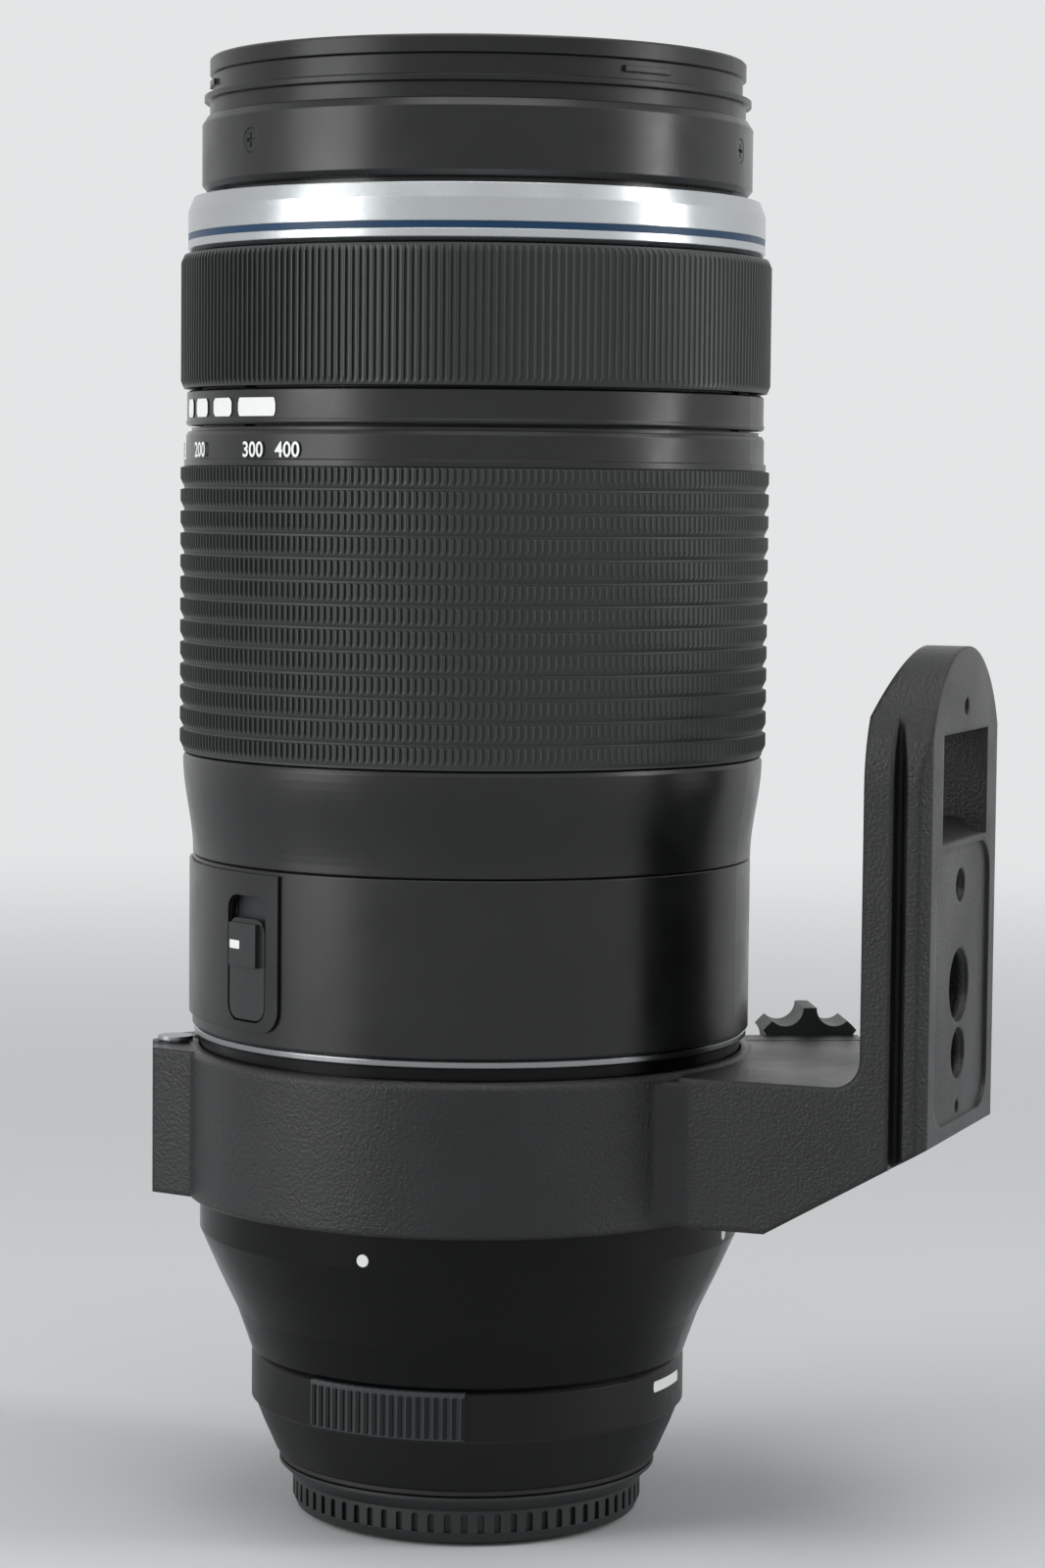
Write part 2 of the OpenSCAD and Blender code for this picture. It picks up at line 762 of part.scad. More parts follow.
module zoom_cell() {
    color("#2f3234") translate([0, 0, z_pin_q - zoom_cell_h / 2]) difference() {
        union() {
            cylinder(r = zoom_glass_r + wall, h = zoom_cell_h);
            rod_places() cylinder(r = rod_boss_r, h = zoom_cell_h);
            translate([-rod_boss_r / 2, -rod_ring_r, 0])
                cube([rod_boss_r, 2 * rod_ring_r, zoom_cell_h]);
            for (a = az_pins_q) {
                at_bearing(a) translate([0, 0, zoom_cell_h / 2]) rotate([0, 90, 0])
                    cylinder(r = pin_r, h = cam_r - fit_gap);
                at_bearing(a) translate([0, 0, zoom_cell_h / 2]) rotate([0, 90, 0])
                    cylinder(r = 2 * pin_r, h = frame_in_r - edge);
            }
        }
        rod_places() translate([0, 0, -cut])
            cylinder(r = rod_r + pin_gap, h = zoom_cell_h + 2 * cut);
        translate([0, 0, wall]) cylinder(r = zoom_glass_r + fit_gap, h = zoom_cell_h);
        translate([0, 0, -cut]) cylinder(r = zoom_glass_r - wall, h = zoom_cell_h);
    }
}

module zoom_element() {
    color("#bcd3dc") translate([0, 0, z_pin_q - zoom_cell_h / 2 + wall])
        lens(zoom_glass_r, zoom_cell_h / 3, wall, wall);
}

// An upright slot through a wall, round at both ends, at a bearing
module straight_slot(a, r, low, high) {
    at_bearing(a) {
        for (z = [low, high]) {
            translate([r - 2 * wall, 0, z]) rotate([0, 90, 0]) cylinder(r = slot_r, h = 4 * wall);
        }
        translate([r - 2 * wall, -slot_r, low]) cube([4 * wall, 2 * slot_r, high - low]);
    }
}

// Main tube: carries every outer ring, and guides the extending barrel
key_w = 6;
key_h = 4;
az_key = -50;
ledge_t = 2;

module main_tube() {
    window = zoom_turn + 360 * (key_w + 2 * run_gap) / (2 * PI * main_r);
    color("#232527") difference() {
        union() {
            translate([0, 0, z_switch]) tube(main_r, main_in_r, z_silver - z_switch);
            translate([0, 0, z_cam - ledge_t - run_gap]) tube(main_r, cam_in_r, ledge_t);
        }
        for (a = az_pins_p) {
            straight_slot(a, main_r, z_pin_p, z_pin_p + zoom_travel);
        }
        at_bearing(az_key - zoom_turn / 2) translate([0, 0, z_key - run_gap])
            arc_piece(main_r + wall, main_in_r - wall, key_h + 2 * run_gap, window);
    }
}

// Cam barrel: helical slots turn the rotation of the zoom ring into travel
z_cam = z_seam + 2 * run_gap + ledge_t;
z_key = z_zoom + key_h;
cam_h = zoom_travel + 2 * pin_p_rise - edge;
cam_slices = 24;

// Half the width of a helical slot, measured round the barrel, that clears a pin
function slot_half(travel) = slot_r * norm([travel, cam_r * zoom_turn * PI / 180]) / travel;

module cam_slot(a, low, travel) {
    w = slot_half(travel);
    at_bearing(a) translate([0, 0, low])
        linear_extrude(height = travel, twist = -zoom_turn, slices = cam_slices, $fn = 4)
            translate([cam_in_r - wall, -w]) square([3 * wall, 2 * w]);
    for (end = [0, 1]) {
        at_bearing(a + end * zoom_turn) translate([cam_in_r - wall, 0, low + end * travel])
            rotate([0, 90, 0]) cylinder(r = slot_r, h = 3 * wall);
    }
}

module cam_barrel() {
    color("#b4a24c") difference() {
        translate([0, 0, z_cam]) tube(cam_r, cam_in_r, cam_h);
        for (a = az_pins_p) {
            cam_slot(a, z_pin_p, zoom_travel);
        }
        for (a = az_pins_q) {
            cam_slot(a, z_pin_q, group_travel);
        }
        at_bearing(az_key) translate([cam_in_r - wall, -key_w / 2 - pin_gap, z_key - pin_gap])
            cube([3 * wall, key_w + 2 * pin_gap, key_h + 2 * pin_gap]);
    }
}

module drive_key() {
    color("#8f9295") at_bearing(az_key) intersection() {
        translate([cam_in_r + edge, -key_w / 2, z_key])
            cube([ring_in_r + wall - cam_in_r - edge - fit_gap, key_w, key_h]);
        cylinder(r = ring_in_r + wall - fit_gap, h = z_top);
    }
}

// Switch barrel with its raised panel, switches and zoom lock
az_panel_from = -180;
az_panel_to = -19;
panel_t = 0.5;
panel_corner_r = 3.4;
panel_low = z_switch + 2;
az_lock = -28.4;
lock_slot_w = 8.8;
lock_slot_rise = 3.3;
lock_slot_low = z_switch + lock_slot_rise;
slot_corner_r = 2.3;
lock_slot_top = 3.8;
lock_slot_h = switch_barrel_h - lock_slot_rise - lock_slot_top;
lock_travel = 3;
lock_plate_sunk = 0.1;
lock_knob_w = 6.2;
lock_knob_l = 6.2;
lock_knob_high = 0.8;
slider_high = 1;
slider_ridge = 0.45;
az_switch = [-142, -156.5, -171];
switch_slot_w = 6;
switch_slot_h = 14;
switch_l = 6;
switch_w = 4.4;
switch_step = 2.4;
z_switch_mid = z_switch + switch_barrel_h / 2;

module switch_barrel() {
    color("#1c1d1f") difference() {
        translate([0, 0, z_switch]) turned([
            [main_r + fit_gap, 0], [switch_barrel_r - edge / 2, 0],
            [switch_barrel_r, edge / 2], [switch_barrel_r, switch_barrel_h - edge / 3],
            [switch_barrel_r - edge / 3, switch_barrel_h], [main_r + fit_gap, switch_barrel_h]
        ]);
        switch_cuts(main_r - fit_gap);
    }
}

// The recesses that the four sliders run in
module switch_cuts(r) {
    at_bearing(az_lock) translate([r, 0, lock_slot_low])
        upright_slot(lock_slot_w, lock_slot_h, switch_barrel_r);
    for (a = az_switch) {
        at_bearing(a) translate([r, 0, z_switch_mid - switch_slot_h / 2])
            upright_slot(switch_slot_w, switch_slot_h, switch_barrel_r);
    }
}

// An upright slot with round corners, cut outwards from where it starts
module upright_slot(w, h, deep) {
    rotate([90, 0, 90]) linear_extrude(deep) round_rect(w / 2, 0, h, slot_corner_r);
}

module switch_panel() {
    mid = (az_panel_from + az_panel_to) / 2;
    color("#191a1c") difference() {
        at_bearing(mid) translate([0, 0, panel_low])
            arc_piece(switch_barrel_r + panel_t, switch_barrel_r + pin_gap,
                z_seam - panel_low - edge, az_panel_to - az_panel_from);
        switch_cuts(main_r);
        at_bearing(az_panel_to) translate([main_r, -panel_corner_r, panel_low - cut]) difference() {
            cube([ring_wall, panel_corner_r + cut, panel_corner_r + cut]);
            translate([-cut, 0, panel_corner_r + cut]) rotate([0, 90, 0])
                cylinder(r = panel_corner_r, h = ring_wall + 2 * cut);
        }
    }
}

// A slider: a pad that runs in its slot, a raised thumb piece and a ridge
module slider(a, z, w, l, high, ridge) {
    base = main_r + run_gap;
    color("#1f2022") intersection() {
        at_bearing(a) translate([base - wall, 0, z]) {
            translate([0, -w / 2, 0]) cube([switch_barrel_r + high - base + wall, w, l]);
            translate([0, -w / 2, l - ridge * 1.5])
                cube([switch_barrel_r + high + ridge - base + wall, w, ridge * 1.5]);
        }
        tube(switch_barrel_r + high + ridge, base, z_top);
    }
}

module focus_switch() {
    slider(az_switch[0], z_switch_mid - switch_l / 2 - switch_step / 2, switch_w, switch_l,
        slider_high, slider_ridge);
}

module limiter_switch() {
    slider(az_switch[1], z_switch_mid - switch_l / 2 - switch_step, switch_w, switch_l,
        slider_high, slider_ridge);
}

module stabiliser_switch() {
    slider(az_switch[2], z_switch_mid - switch_l / 2 - switch_step / 2, switch_w, switch_l,
        slider_high, slider_ridge);
}

// Zoom lock: a plate that fills its slot but for the travel, with a thumb piece at its top
module zoom_lock() {
    low = lock_slot_low + run_gap;
    top = lock_slot_low + lock_slot_h - run_gap - lock_travel;
    base = main_r + run_gap;
    plate_r = switch_barrel_r + panel_t - lock_plate_sunk;
    color("#1f2022") {
        intersection() {
            at_bearing(az_lock) translate([base - wall, 0, 0]) rotate([90, 0, 90])
                linear_extrude(ring_wall) round_rect(lock_slot_w / 2 - run_gap, low, top,
                    slot_corner_r - run_gap);
            tube(plate_r, base, z_top);
        }
        intersection() {
            at_bearing(az_lock) {
                translate([base, -lock_knob_w / 2, top - lock_knob_l - edge])
                    cube([ring_wall, lock_knob_w, lock_knob_l]);
            }
            tube(plate_r + lock_knob_high, base + edge, z_top);
        }
    }
}

// Waist, number band, index band, silver ring and its inlay
// A point of the waist's flare, a share of the way up: a half wave from one barrel to the next
waist_steps = 12;
function waist_at(s) = [
    switch_barrel_r + (band_r + edge / 2 - switch_barrel_r) * (1 - cos(180 * s)) / 2,
    edge / 2 + (waist_h - 1.5 * edge) * s
];

module waist_ring() {
    color("#18191b") translate([0, 0, z_seam]) difference() {
        turned(concat(
            [[0, pin_gap], [switch_barrel_r - edge / 2, pin_gap]],
            [for (i = [0 : waist_steps]) waist_at(i / waist_steps)],
            [[band_r, waist_h], [0, waist_h]]
        ));
        translate([0, 0, -cut]) cylinder(r = main_r + fit_gap, h = waist_h + 2 * cut);
    }
}

module number_band() {
    lip_top = number_band_h + edge - pin_gap;
    color("#1a1b1d") translate([0, 0, z_numbers + pin_gap]) turned([
        [ring_in_r, 0], [band_r + edge / 2, 0], [band_r + edge / 2, edge * 1.5],
        [band_r, edge * 1.7], [band_r, number_band_h - edge], [band_r - edge / 2, number_band_h],
        [ring_in_r + wall, number_band_h], [ring_in_r + wall, lip_top], [ring_in_r, lip_top]
    ]);
}

module index_band() {
    color("#1a1b1d") translate([0, 0, z_index]) turned([
        [main_r + fit_gap, 0], [band_r - edge / 2, 0], [band_r, edge / 2],
        [band_r, edge], [band_r - edge / 5, edge * 1.4], [band_r - edge / 5, index_band_h - edge / 2],
        [band_r - edge, index_band_h], [main_r + fit_gap, index_band_h]
    ]);
}

blue_low = 1.7;
blue_h = 1;
blue_deep = 0.4;
seal_low = 4.6;
seal_h = 1.6;

module silver_ring() {
    color("#d3d6d8") translate([0, 0, z_silver]) difference() {
        turned([
            [slide_r + run_gap, 0], [silver_r - edge, 0], [silver_r, edge],
            [silver_r, silver_h * 0.74], [silver_r - edge * 1.3, silver_h],
            [slide_r + run_gap, silver_h]
        ]);
        translate([0, 0, blue_low]) tube(silver_r + cut, silver_r - blue_deep, blue_h);
        translate([0, 0, seal_low]) cylinder(r = slide_r + 2 * wall, h = seal_h);
    }
}

module blue_band() {
    color("#1f5f96") translate([0, 0, z_silver + blue_low])
        tube(silver_r - pin_gap, silver_r - blue_deep, blue_h);
}

module dust_seal() {
    color("#111112") translate([0, 0, z_silver + seal_low])
        tube(slide_r + 2 * wall, slide_r + run_gap, seal_h);
}

// Zoom ring with its rubber grip, and the focus ring
grip_r = ring_r - 1.2;
rib_high = 0.6;
rib_land_share = 0.42;
rib_slope_share = 0.2;
tooth_deep = 0.35;

module zoom_ring() {
    color("#202123") difference() {
        translate([0, 0, z_zoom]) tube(grip_r, ring_in_r, zoom_h);
        at_bearing(az_key) translate([ring_in_r - wall, -key_w / 2 - pin_gap, z_key - pin_gap])
            cube([2 * wall, key_w + 2 * pin_gap, key_h + 2 * pin_gap]);
    }
}

// Height of the grip's surface above its valleys, one rib after another
function grip_profile() = [
    for (i = [0 : zoom_ribs - 1])
        let (p = (zoom_h - edge) / zoom_ribs, z = edge / 2 + i * p)
            each [
                [ring_r - rib_high, z + p * (0.5 - rib_land_share / 2 - rib_slope_share)],
                [ring_r, z + p * (0.5 - rib_land_share / 2)],
                [ring_r, z + p * (0.5 + rib_land_share / 2)],
                [ring_r - rib_high, z + p * (0.5 + rib_land_share / 2 + rib_slope_share)]
            ]
];

module zoom_grip() {
    color("#141414") translate([0, 0, z_zoom]) turned(concat(
        [[grip_r + pin_gap, 0], [ring_r - rib_high - edge / 2, 0]],
        grip_profile(),
        [[ring_r - rib_high - edge / 2, zoom_h], [grip_r + pin_gap, zoom_h]]
    ));
}

module focus_ring() {
    color("#1b1c1e") translate([0, 0, z_focus]) difference() {
        intersection() {
            linear_extrude(focus_h) polygon([
                for (i = [0 : 2 * focus_teeth - 1])
                    let (r = ring_r - (i % 2) * tooth_deep, a = i * 180 / focus_teeth)
                        [r * cos(a), r * sin(a)]
            ]);
            turned([
                [0, 0], [ring_r - edge, 0], [ring_r + cut, edge + cut],
                [ring_r + cut, focus_h - edge - cut], [ring_r - edge, focus_h], [0, focus_h]
            ]);
        }
        translate([0, 0, -cut]) cylinder(r = ring_in_r, h = focus_h + 2 * cut);
    }
}

// Extending barrel and what travels with it
head_wall = 1.6;
head_chamfer = 0.7;
z_slide_low = z_pin_q - zoom_travel + group_travel - slot_r - wall;
az_head_screw = [-30.7, 90.5, -150.5];
head_screw_r = 1;
head_screw_head_r = 1.7;
head_screw_deep = 0.6;
head_screw_up = 5.7;

module extending_barrel() {
    color("#1a1b1d") difference() {
        union() {
            translate([0, 0, z_slide_low]) tube(slide_r, slide_in_r, z_rim - z_slide_low);
            translate([0, 0, z_head]) turned([
                [slide_in_r, 0], [head_r - head_chamfer, 0], [head_r, head_chamfer * 1.2],
                [head_r, head_h - head_chamfer * 1.6], [head_r - head_chamfer, head_h],
                [slide_in_r, head_h]
            ]);
        }
        for (a = az_pins_p) {
            at_bearing(a) translate([slide_in_r - wall, 0, z_pin_p]) rotate([0, 90, 0])
                cylinder(r = pin_r + pin_gap / 2, h = 3 * wall);
        }
        for (a = az_pins_q) {
            straight_slot(a, slide_r, z_pin_q - zoom_travel + group_travel, z_pin_q);
        }
        head_screw_places() {
            cylinder(r = head_screw_head_r + pin_gap, h = head_screw_deep + cut);
            translate([0, 0, -3 * wall]) cylinder(r = head_screw_r + pin_gap, h = 4 * wall);
        }
    }
}

module head_screw_places() {
    for (a = az_head_screw) {
        at_bearing(a) translate([head_r - head_screw_deep, 0, z_head + head_screw_up])
            rotate([0, 90, 0]) children();
    }
}

module head_screws() {
    color("#2c2d2f") head_screw_places() difference() {
        union() {
            cylinder(r = head_screw_head_r, h = head_screw_deep - pin_gap);
            translate([0, 0, -2 * wall]) cylinder(r = head_screw_r, h = 2 * wall + pin_gap);
        }
        translate([0, 0, head_screw_deep]) rotate([180, 0, 0])
            cross_recess(head_screw_head_r, head_screw_deep);
    }
}

module cam_pins() {
    color("#c4c7c9") for (a = az_pins_p) {
        at_bearing(a) translate([slide_in_r, 0, z_pin_p]) rotate([0, 90, 0])
            cylinder(r = pin_r, h = main_r - fit_gap - slide_in_r);
    }
}

// Front rim: filter thread inside, hood bayonet outside
rim_step = 1.1;
rim_groove_deep = 0.5;
rim_ridge_high = 0.8;
rim_r = head_r - rim_step;
rim_groove_r = rim_r - rim_groove_deep;
rim_ridge_r = rim_r + rim_ridge_high;
filter_h = 4.5;
lug_angle = 12;
az_lug = [59, 179, -61];

module front_rim() {
    color("#161718") translate([0, 0, z_rim]) {
        difference() {
            turned([
                [slide_in_r - head_wall, 0], [rim_r, 0], [rim_r, rim_h * 0.25],
                [rim_ridge_r, rim_h * 0.27], [rim_ridge_r, rim_h * 0.36],
                [rim_groove_r, rim_h * 0.39], [rim_groove_r, rim_h * 0.69],
                [rim_r, rim_h * 0.72], [rim_r, rim_h - edge / 2], [rim_r - edge / 2, rim_h],
                [slide_in_r - head_wall, rim_h]
            ]);
            translate([0, 0, rim_h - filter_h]) cylinder(r = filter_r, h = filter_h + cut);
        }
        for (a = az_lug) {
            at_bearing(a) translate([0, 0, rim_h * 0.5])
                arc_piece(rim_r, rim_groove_r - edge, rim_h * 0.1, lug_angle);
        }
    }
}

module name_ring() {
    top = z_top - filter_h - pin_gap;
    low = z_front_cell + front_cell_h;
    color("#121314") difference() {
        translate([0, 0, low]) cylinder(r = slide_in_r - head_wall - fit_gap, h = top - low);
        translate([0, 0, low - cut / 2]) cylinder(r1 = front_glass_r - edge,
            r2 = slide_in_r - head_wall - 2 * edge, h = top - low + cut);
    }
}

front_rim_t = 3;
second_rim_t = 4;
front_cell_h = 24;
front_cell_gap = 3;
z_front_cell = z_rim - front_cell_gap - front_cell_h;
second_glass_step = 2;
second_glass_r = front_glass_r - second_glass_step;

module front_cell() {
    r = slide_in_r - fit_gap;
    color("#1e2022") translate([0, 0, z_front_cell]) difference() {
        cylinder(r = r, h = front_cell_h);
        translate([0, 0, front_cell_h - front_rim_t - wall])
            cylinder(r = front_glass_r + fit_gap, h = front_cell_h);
        translate([0, 0, -cut]) cylinder(r = second_glass_r - wall, h = front_cell_h);
        translate([0, 0, wall]) cylinder(r = second_glass_r + fit_gap, h = front_cell_h / 2);
    }
}

module front_element() {
    color("#9fbfd0") translate([0, 0, z_front_cell + front_cell_h - front_rim_t - wall])
        lens(front_glass_r, front_rim_t, 3 * wall, wall,
            front_glass_r - second_glass_r + edge);
}

module second_element() {
    color("#bcd3dc") translate([0, 0, z_front_cell + wall])
        lens(second_glass_r, second_rim_t, 3 * wall, wall / 2);
}

// Tripod collar: a half ring with the foot, a hinged gate, and the clamp that closes it
collar_edge = 0.8;
hinge_out = 1.6;
hinge_at = collar_r + hinge_out;
hinge_pin_r = 2;
hinge_ear_r = 3.4;
hinge_head_r = 2.6;
hinge_head_h = 0.6;
boss_out = 2.8;
boss_face = hinge_at + boss_out;
boss_half = 7.1;
boss_root = 12.2;
gate_start = hinge_ear_r + run_gap + fit_gap;
// The lugs, bosses and arm stop a little short of the ring's two faces and of its split ends
arc_inset_angle = 1;
lug_inset = 0.6;
boss_inset = 0.3;
ear_inset = 0.15;
arm_inset = 0.25;
z_arm = z_collar_top - collar_edge / 2;
arm_fillet = 4;
arm_round_r = 8;
arm_round_sink = 0.15;
arm_under_in = 23;
arm_under_x = foot_face_x - arm_under_in;
arm_under_rise = 13.5;
split_b = 3.8;
lug_t = 6;
clamp_out = 10.6;
clamp_at = collar_r + clamp_out;
lug_half = 7.2;
lug_from = collar_in_r - 2 * wall;
lug_to = clamp_at + lug_half;
lug_rise = 7;
clamp_z = z_collar + collar_h * 0.74;
clamp_screw_r = 2.5;
clamp_engage = 5;
clamp_hole_gap = 0.6;
knob_h = 9;
knob_gap = 0.4;
dove_low = -5.2;
dove_in = -3.1;
dove_deep = 2.6;
face_edge = 1.4;
thread_big_deep = 7;
thread_small_deep = 6;
lead_in = 0.5;
lead_deep = 0.6;
big_up = 12.9;
small_up = 3.2;
pin_hole_up = 27.2;
pin_hole_r = 1.9;
pin_hole_deep = 4.5;
strap_h = 13.2;
strap_top = 12;
strap_high = foot_rise - strap_top;
strap_low = strap_high - strap_h;
strap_half = 12;
strap_slope = 2.6;
pad_half = 14.5;
pad_low = -6;
pad_gap = 3;
pad_high = strap_low - pad_gap;
pad_deep = 0.5;
pad_corner_r = 5;
low_hole_up = -4.5;
low_hole_r = 1;
low_hole_deep = 3;
top_hole_down = 8.5;
top_hole_up = foot_rise - top_hole_down;
top_hole_r = 1.2;
foot_bevel_w = 3.4;
foot_bevel_h = 9.4;

// A stretch of the collar's ring between two bearings
module collar_arc(from, to) {
    rotate([0, 0, from - 90]) rotate_extrude(angle = to - from) polygon([
        [collar_in_r - wall, z_collar], [collar_r - collar_edge / 2, z_collar],
        [collar_r, z_collar + collar_edge / 2], [collar_r, z_collar_top - collar_edge],
        [collar_r - collar_edge, z_collar_top], [collar_in_r - wall, z_collar_top]
    ]);
}

// Upright side profile of the arm and the plate, as distance from the axis and height
function foot_profile() = let (
    x_in = foot_face_x - foot_t, x_out = foot_face_x, top = z_arm + foot_rise
) concat(
    [[collar_in_r - wall, z_collar + arm_inset], [arm_under_x, z_collar + arm_inset],
    [x_out, z_collar + arm_under_rise], [x_out, top], [x_in + foot_bevel_w, top],
    [x_in, top - foot_bevel_h]],
    [for (i = [0 : 8]) let (a = i * 90 / 8)
        [x_in - arm_fillet + arm_fillet * cos(a), z_arm + arm_fillet - arm_fillet * sin(a)]],
    [[collar_in_r - wall, z_arm]]
);

// The foot's outline seen along X: straight sides under a round top
module foot_outline() {
    top = z_arm + foot_rise;
    translate([0, top - foot_w / 2]) circle(d = foot_w);
    translate([-foot_w / 2, z_collar]) square([foot_w, top - foot_w / 2 - z_collar]);
}

module foot_block() {
    intersection() {
        translate([0, foot_w / 2, 0]) rotate([90, 0, 0])
            linear_extrude(foot_w) polygon(foot_profile());
        rotate([90, 0, 90]) linear_extrude(foot_face_x + cut) foot_outline();
        linear_extrude(z_top) polygon([
            [0, -foot_w / 2], [foot_face_x - face_edge, -foot_w / 2],
            [foot_face_x, face_edge - foot_w / 2], [foot_face_x, foot_w / 2 - face_edge],
            [foot_face_x - face_edge, foot_w / 2], [0, foot_w / 2]
        ]);
    }
}

// The hollow corner where the arm leaves the ring, a little short of the arm's faces. The clamp lugs
// fill the corner on the other side.
module arm_corner() {
    off = foot_w / 2 + arm_round_r - arm_round_sink;
    away = collar_r + arm_round_r - arm_round_sink;
    x = sqrt(away * away - off * off);
    in_ring = (collar_r - wall) / away;
    in_arm = foot_w / 2 - 2 * wall;
    translate([0, 0, z_collar + 2 * arm_inset]) difference() {
        linear_extrude(collar_h - collar_edge - 3 * arm_inset) polygon([
            [x * in_ring, -in_arm], [x, -in_arm], [x, -off], [x * in_ring, -off * in_ring]
        ]);
        translate([x, -off, -cut]) cylinder(r = arm_round_r, h = collar_h + 2 * cut);
    }
}

// The dovetail groove down each side of the plate
module dovetail_grooves() {
    for (side = [-1, 1]) {
        translate([0, 0, z_collar - cut]) linear_extrude(z_top) polygon([
            [foot_face_x + dove_low, side * (foot_w / 2 + cut)],
            [foot_face_x + dove_low, side * (foot_w / 2 - dove_deep)],
            [foot_face_x + dove_low + edge, side * (foot_w / 2 - dove_deep)],
            [foot_face_x + dove_in, side * foot_w / 2],
            [foot_face_x + dove_in, side * (foot_w / 2 + cut)]
        ]);
    }
}

// The recessed pad and blind holes of the outer face, and the strap window
module foot_holes() {
    for (hole = [[top_hole_up, top_hole_r], [low_hole_up, low_hole_r]]) {
        translate([foot_face_x - low_hole_deep, 0, z_arm + hole[0]]) rotate([0, 90, 0])
            cylinder(r = hole[1], h = low_hole_deep + cut);
    }
    translate([foot_face_x - pad_deep, 0, z_arm]) rotate([90, 0, 90]) linear_extrude(cut + pad_deep)
        round_rect(pad_half, pad_low, pad_high, pad_corner_r);
    for (hole = [[big_up, thread_big_r, thread_big_deep], [small_up, thread_small_r, thread_small_deep],
            [pin_hole_up, pin_hole_r, pin_hole_deep]]) {
        translate([foot_face_x - hole[2], 0, z_arm + hole[0]]) rotate([0, 90, 0])
            cylinder(r = hole[1], h = hole[2] + cut);
        translate([foot_face_x - pad_deep - lead_deep, 0, z_arm + hole[0]]) rotate([0, 90, 0])
            cylinder(r = hole[1] + lead_in, h = pad_deep + lead_deep + cut);
    }
    translate([0, strap_half, 0]) rotate([90, 0, 0]) linear_extrude(2 * strap_half) polygon([
        [foot_face_x - foot_t - cut, z_arm + strap_low], [foot_face_x - foot_t / 2, z_arm + strap_low],
        [foot_face_x + cut, z_arm + strap_low - strap_slope],
        [foot_face_x + cut, z_arm + strap_high], [foot_face_x - foot_t - cut, z_arm + strap_high]
    ]);
}

// Clamp lug between two offsets from the clamp's bearing
module clamp_lug(from, to) {
    at_bearing(az_clamp) translate([lug_from, from, z_collar + lug_rise])
        cube([lug_to - lug_from, to - from, collar_h - lug_rise - lug_inset]);
}

// Something round on the clamp screw's axis, from one offset to another
module clamp_round(r, from, to) {
    at_bearing(az_clamp) translate([clamp_at, from, clamp_z]) rotate([-90, 0, 0])
        cylinder(r = r, h = to - from);
}

function split_angle() = asin(split_b / collar_r);
third = collar_h / 3;
boss_h = collar_h - 2 * boss_inset;

module collar_foot() {
    color("#2a2b2c") difference() {
        union() {
            collar_arc(az_hinge + arc_inset_angle, az_clamp + split_angle() - arc_inset_angle);
            foot_block();
            arm_corner();
            clamp_lug(-lug_t * 2, split_b);
            at_bearing(az_hinge) {
                translate([0, 0, z_collar + boss_inset]) linear_extrude(boss_h) polygon([
                    [collar_in_r - wall, 0], [boss_face, 0], [boss_face, boss_half],
                    [collar_in_r - wall, boss_root]
                ]);
                translate([hinge_at, 0, z_collar + ear_inset])
                    cylinder(r = hinge_ear_r, h = collar_h - 2 * ear_inset);
            }
        }
        translate([0, 0, z_collar - cut]) cylinder(r = collar_in_r, h = collar_h + 2 * cut);
        at_bearing(az_hinge) {
            translate([hinge_at, 0, z_collar + third - run_gap])
                cylinder(r = hinge_ear_r + run_gap, h = third + 2 * run_gap);
            translate([hinge_at, 0, z_collar - cut])
                cylinder(r = hinge_pin_r + pin_gap / 2, h = collar_h + 2 * cut);
        }
        clamp_round(clamp_screw_r + clamp_hole_gap, split_b - clamp_engage - 2 * wall, split_b + cut);
        dovetail_grooves();
        foot_holes();
    }
}

module collar_gate() {
    color("#2a2b2c") difference() {
        union() {
            collar_arc(az_clamp + split_angle() + 2 * arc_inset_angle,
                az_hinge + 360 - asin(gate_start / collar_r) - arc_inset_angle);
            clamp_lug(split_b + 2 * run_gap, split_b + 2 * run_gap + lug_t);
            at_bearing(az_hinge) {
                translate([0, 0, z_collar + boss_inset]) linear_extrude(boss_h) polygon([
                    [collar_in_r - wall, -gate_start], [boss_face, -gate_start],
                    [boss_face, -boss_half], [collar_in_r - wall, -boss_root]
                ]);
                translate([hinge_at, 0, z_collar + third]) {
                    cylinder(r = hinge_ear_r, h = third);
                    translate([-hinge_ear_r * 0.7, -gate_start - edge, 0])
                        cube([hinge_ear_r * 1.4, gate_start + edge, third]);
                }
            }
        }
        translate([0, 0, z_collar - cut]) cylinder(r = collar_in_r, h = collar_h + 2 * cut);
        at_bearing(az_hinge) translate([hinge_at, 0, z_collar - cut])
            cylinder(r = hinge_pin_r + pin_gap, h = collar_h + 2 * cut);
        clamp_round(clamp_screw_r + pin_gap, split_b, split_b + 2 * lug_t);
    }
}

module hinge_pin() {
    color("#6f7274") at_bearing(az_hinge) translate([hinge_at, 0, z_collar]) {
        cylinder(r = hinge_pin_r, h = collar_h);
        translate([0, 0, collar_h]) cylinder(r = hinge_head_r, h = hinge_head_h);
    }
}

knob_from = split_b + 2 * run_gap + lug_t + knob_gap;
scallop_r = knob_r * 0.3;

module clamp_knob() {
    color("#242526") difference() {
        at_bearing(az_clamp) translate([clamp_at, knob_from, clamp_z]) rotate([-90, 0, 0])
            difference() {
                cylinder(r = knob_r, h = knob_h);
                for (i = [0 : knob_lobes - 1]) {
                    rotate([0, 0, (i + 0.5) * 360 / knob_lobes])
                        translate([knob_r + scallop_r * 0.25, 0, -cut])
                            cylinder(r = scallop_r, h = knob_h + 2 * cut, $fn = 48);
                }
            }
        clamp_round(clamp_screw_r + pin_gap / 2, knob_from - cut, knob_from + knob_h - 2 * wall);
    }
}

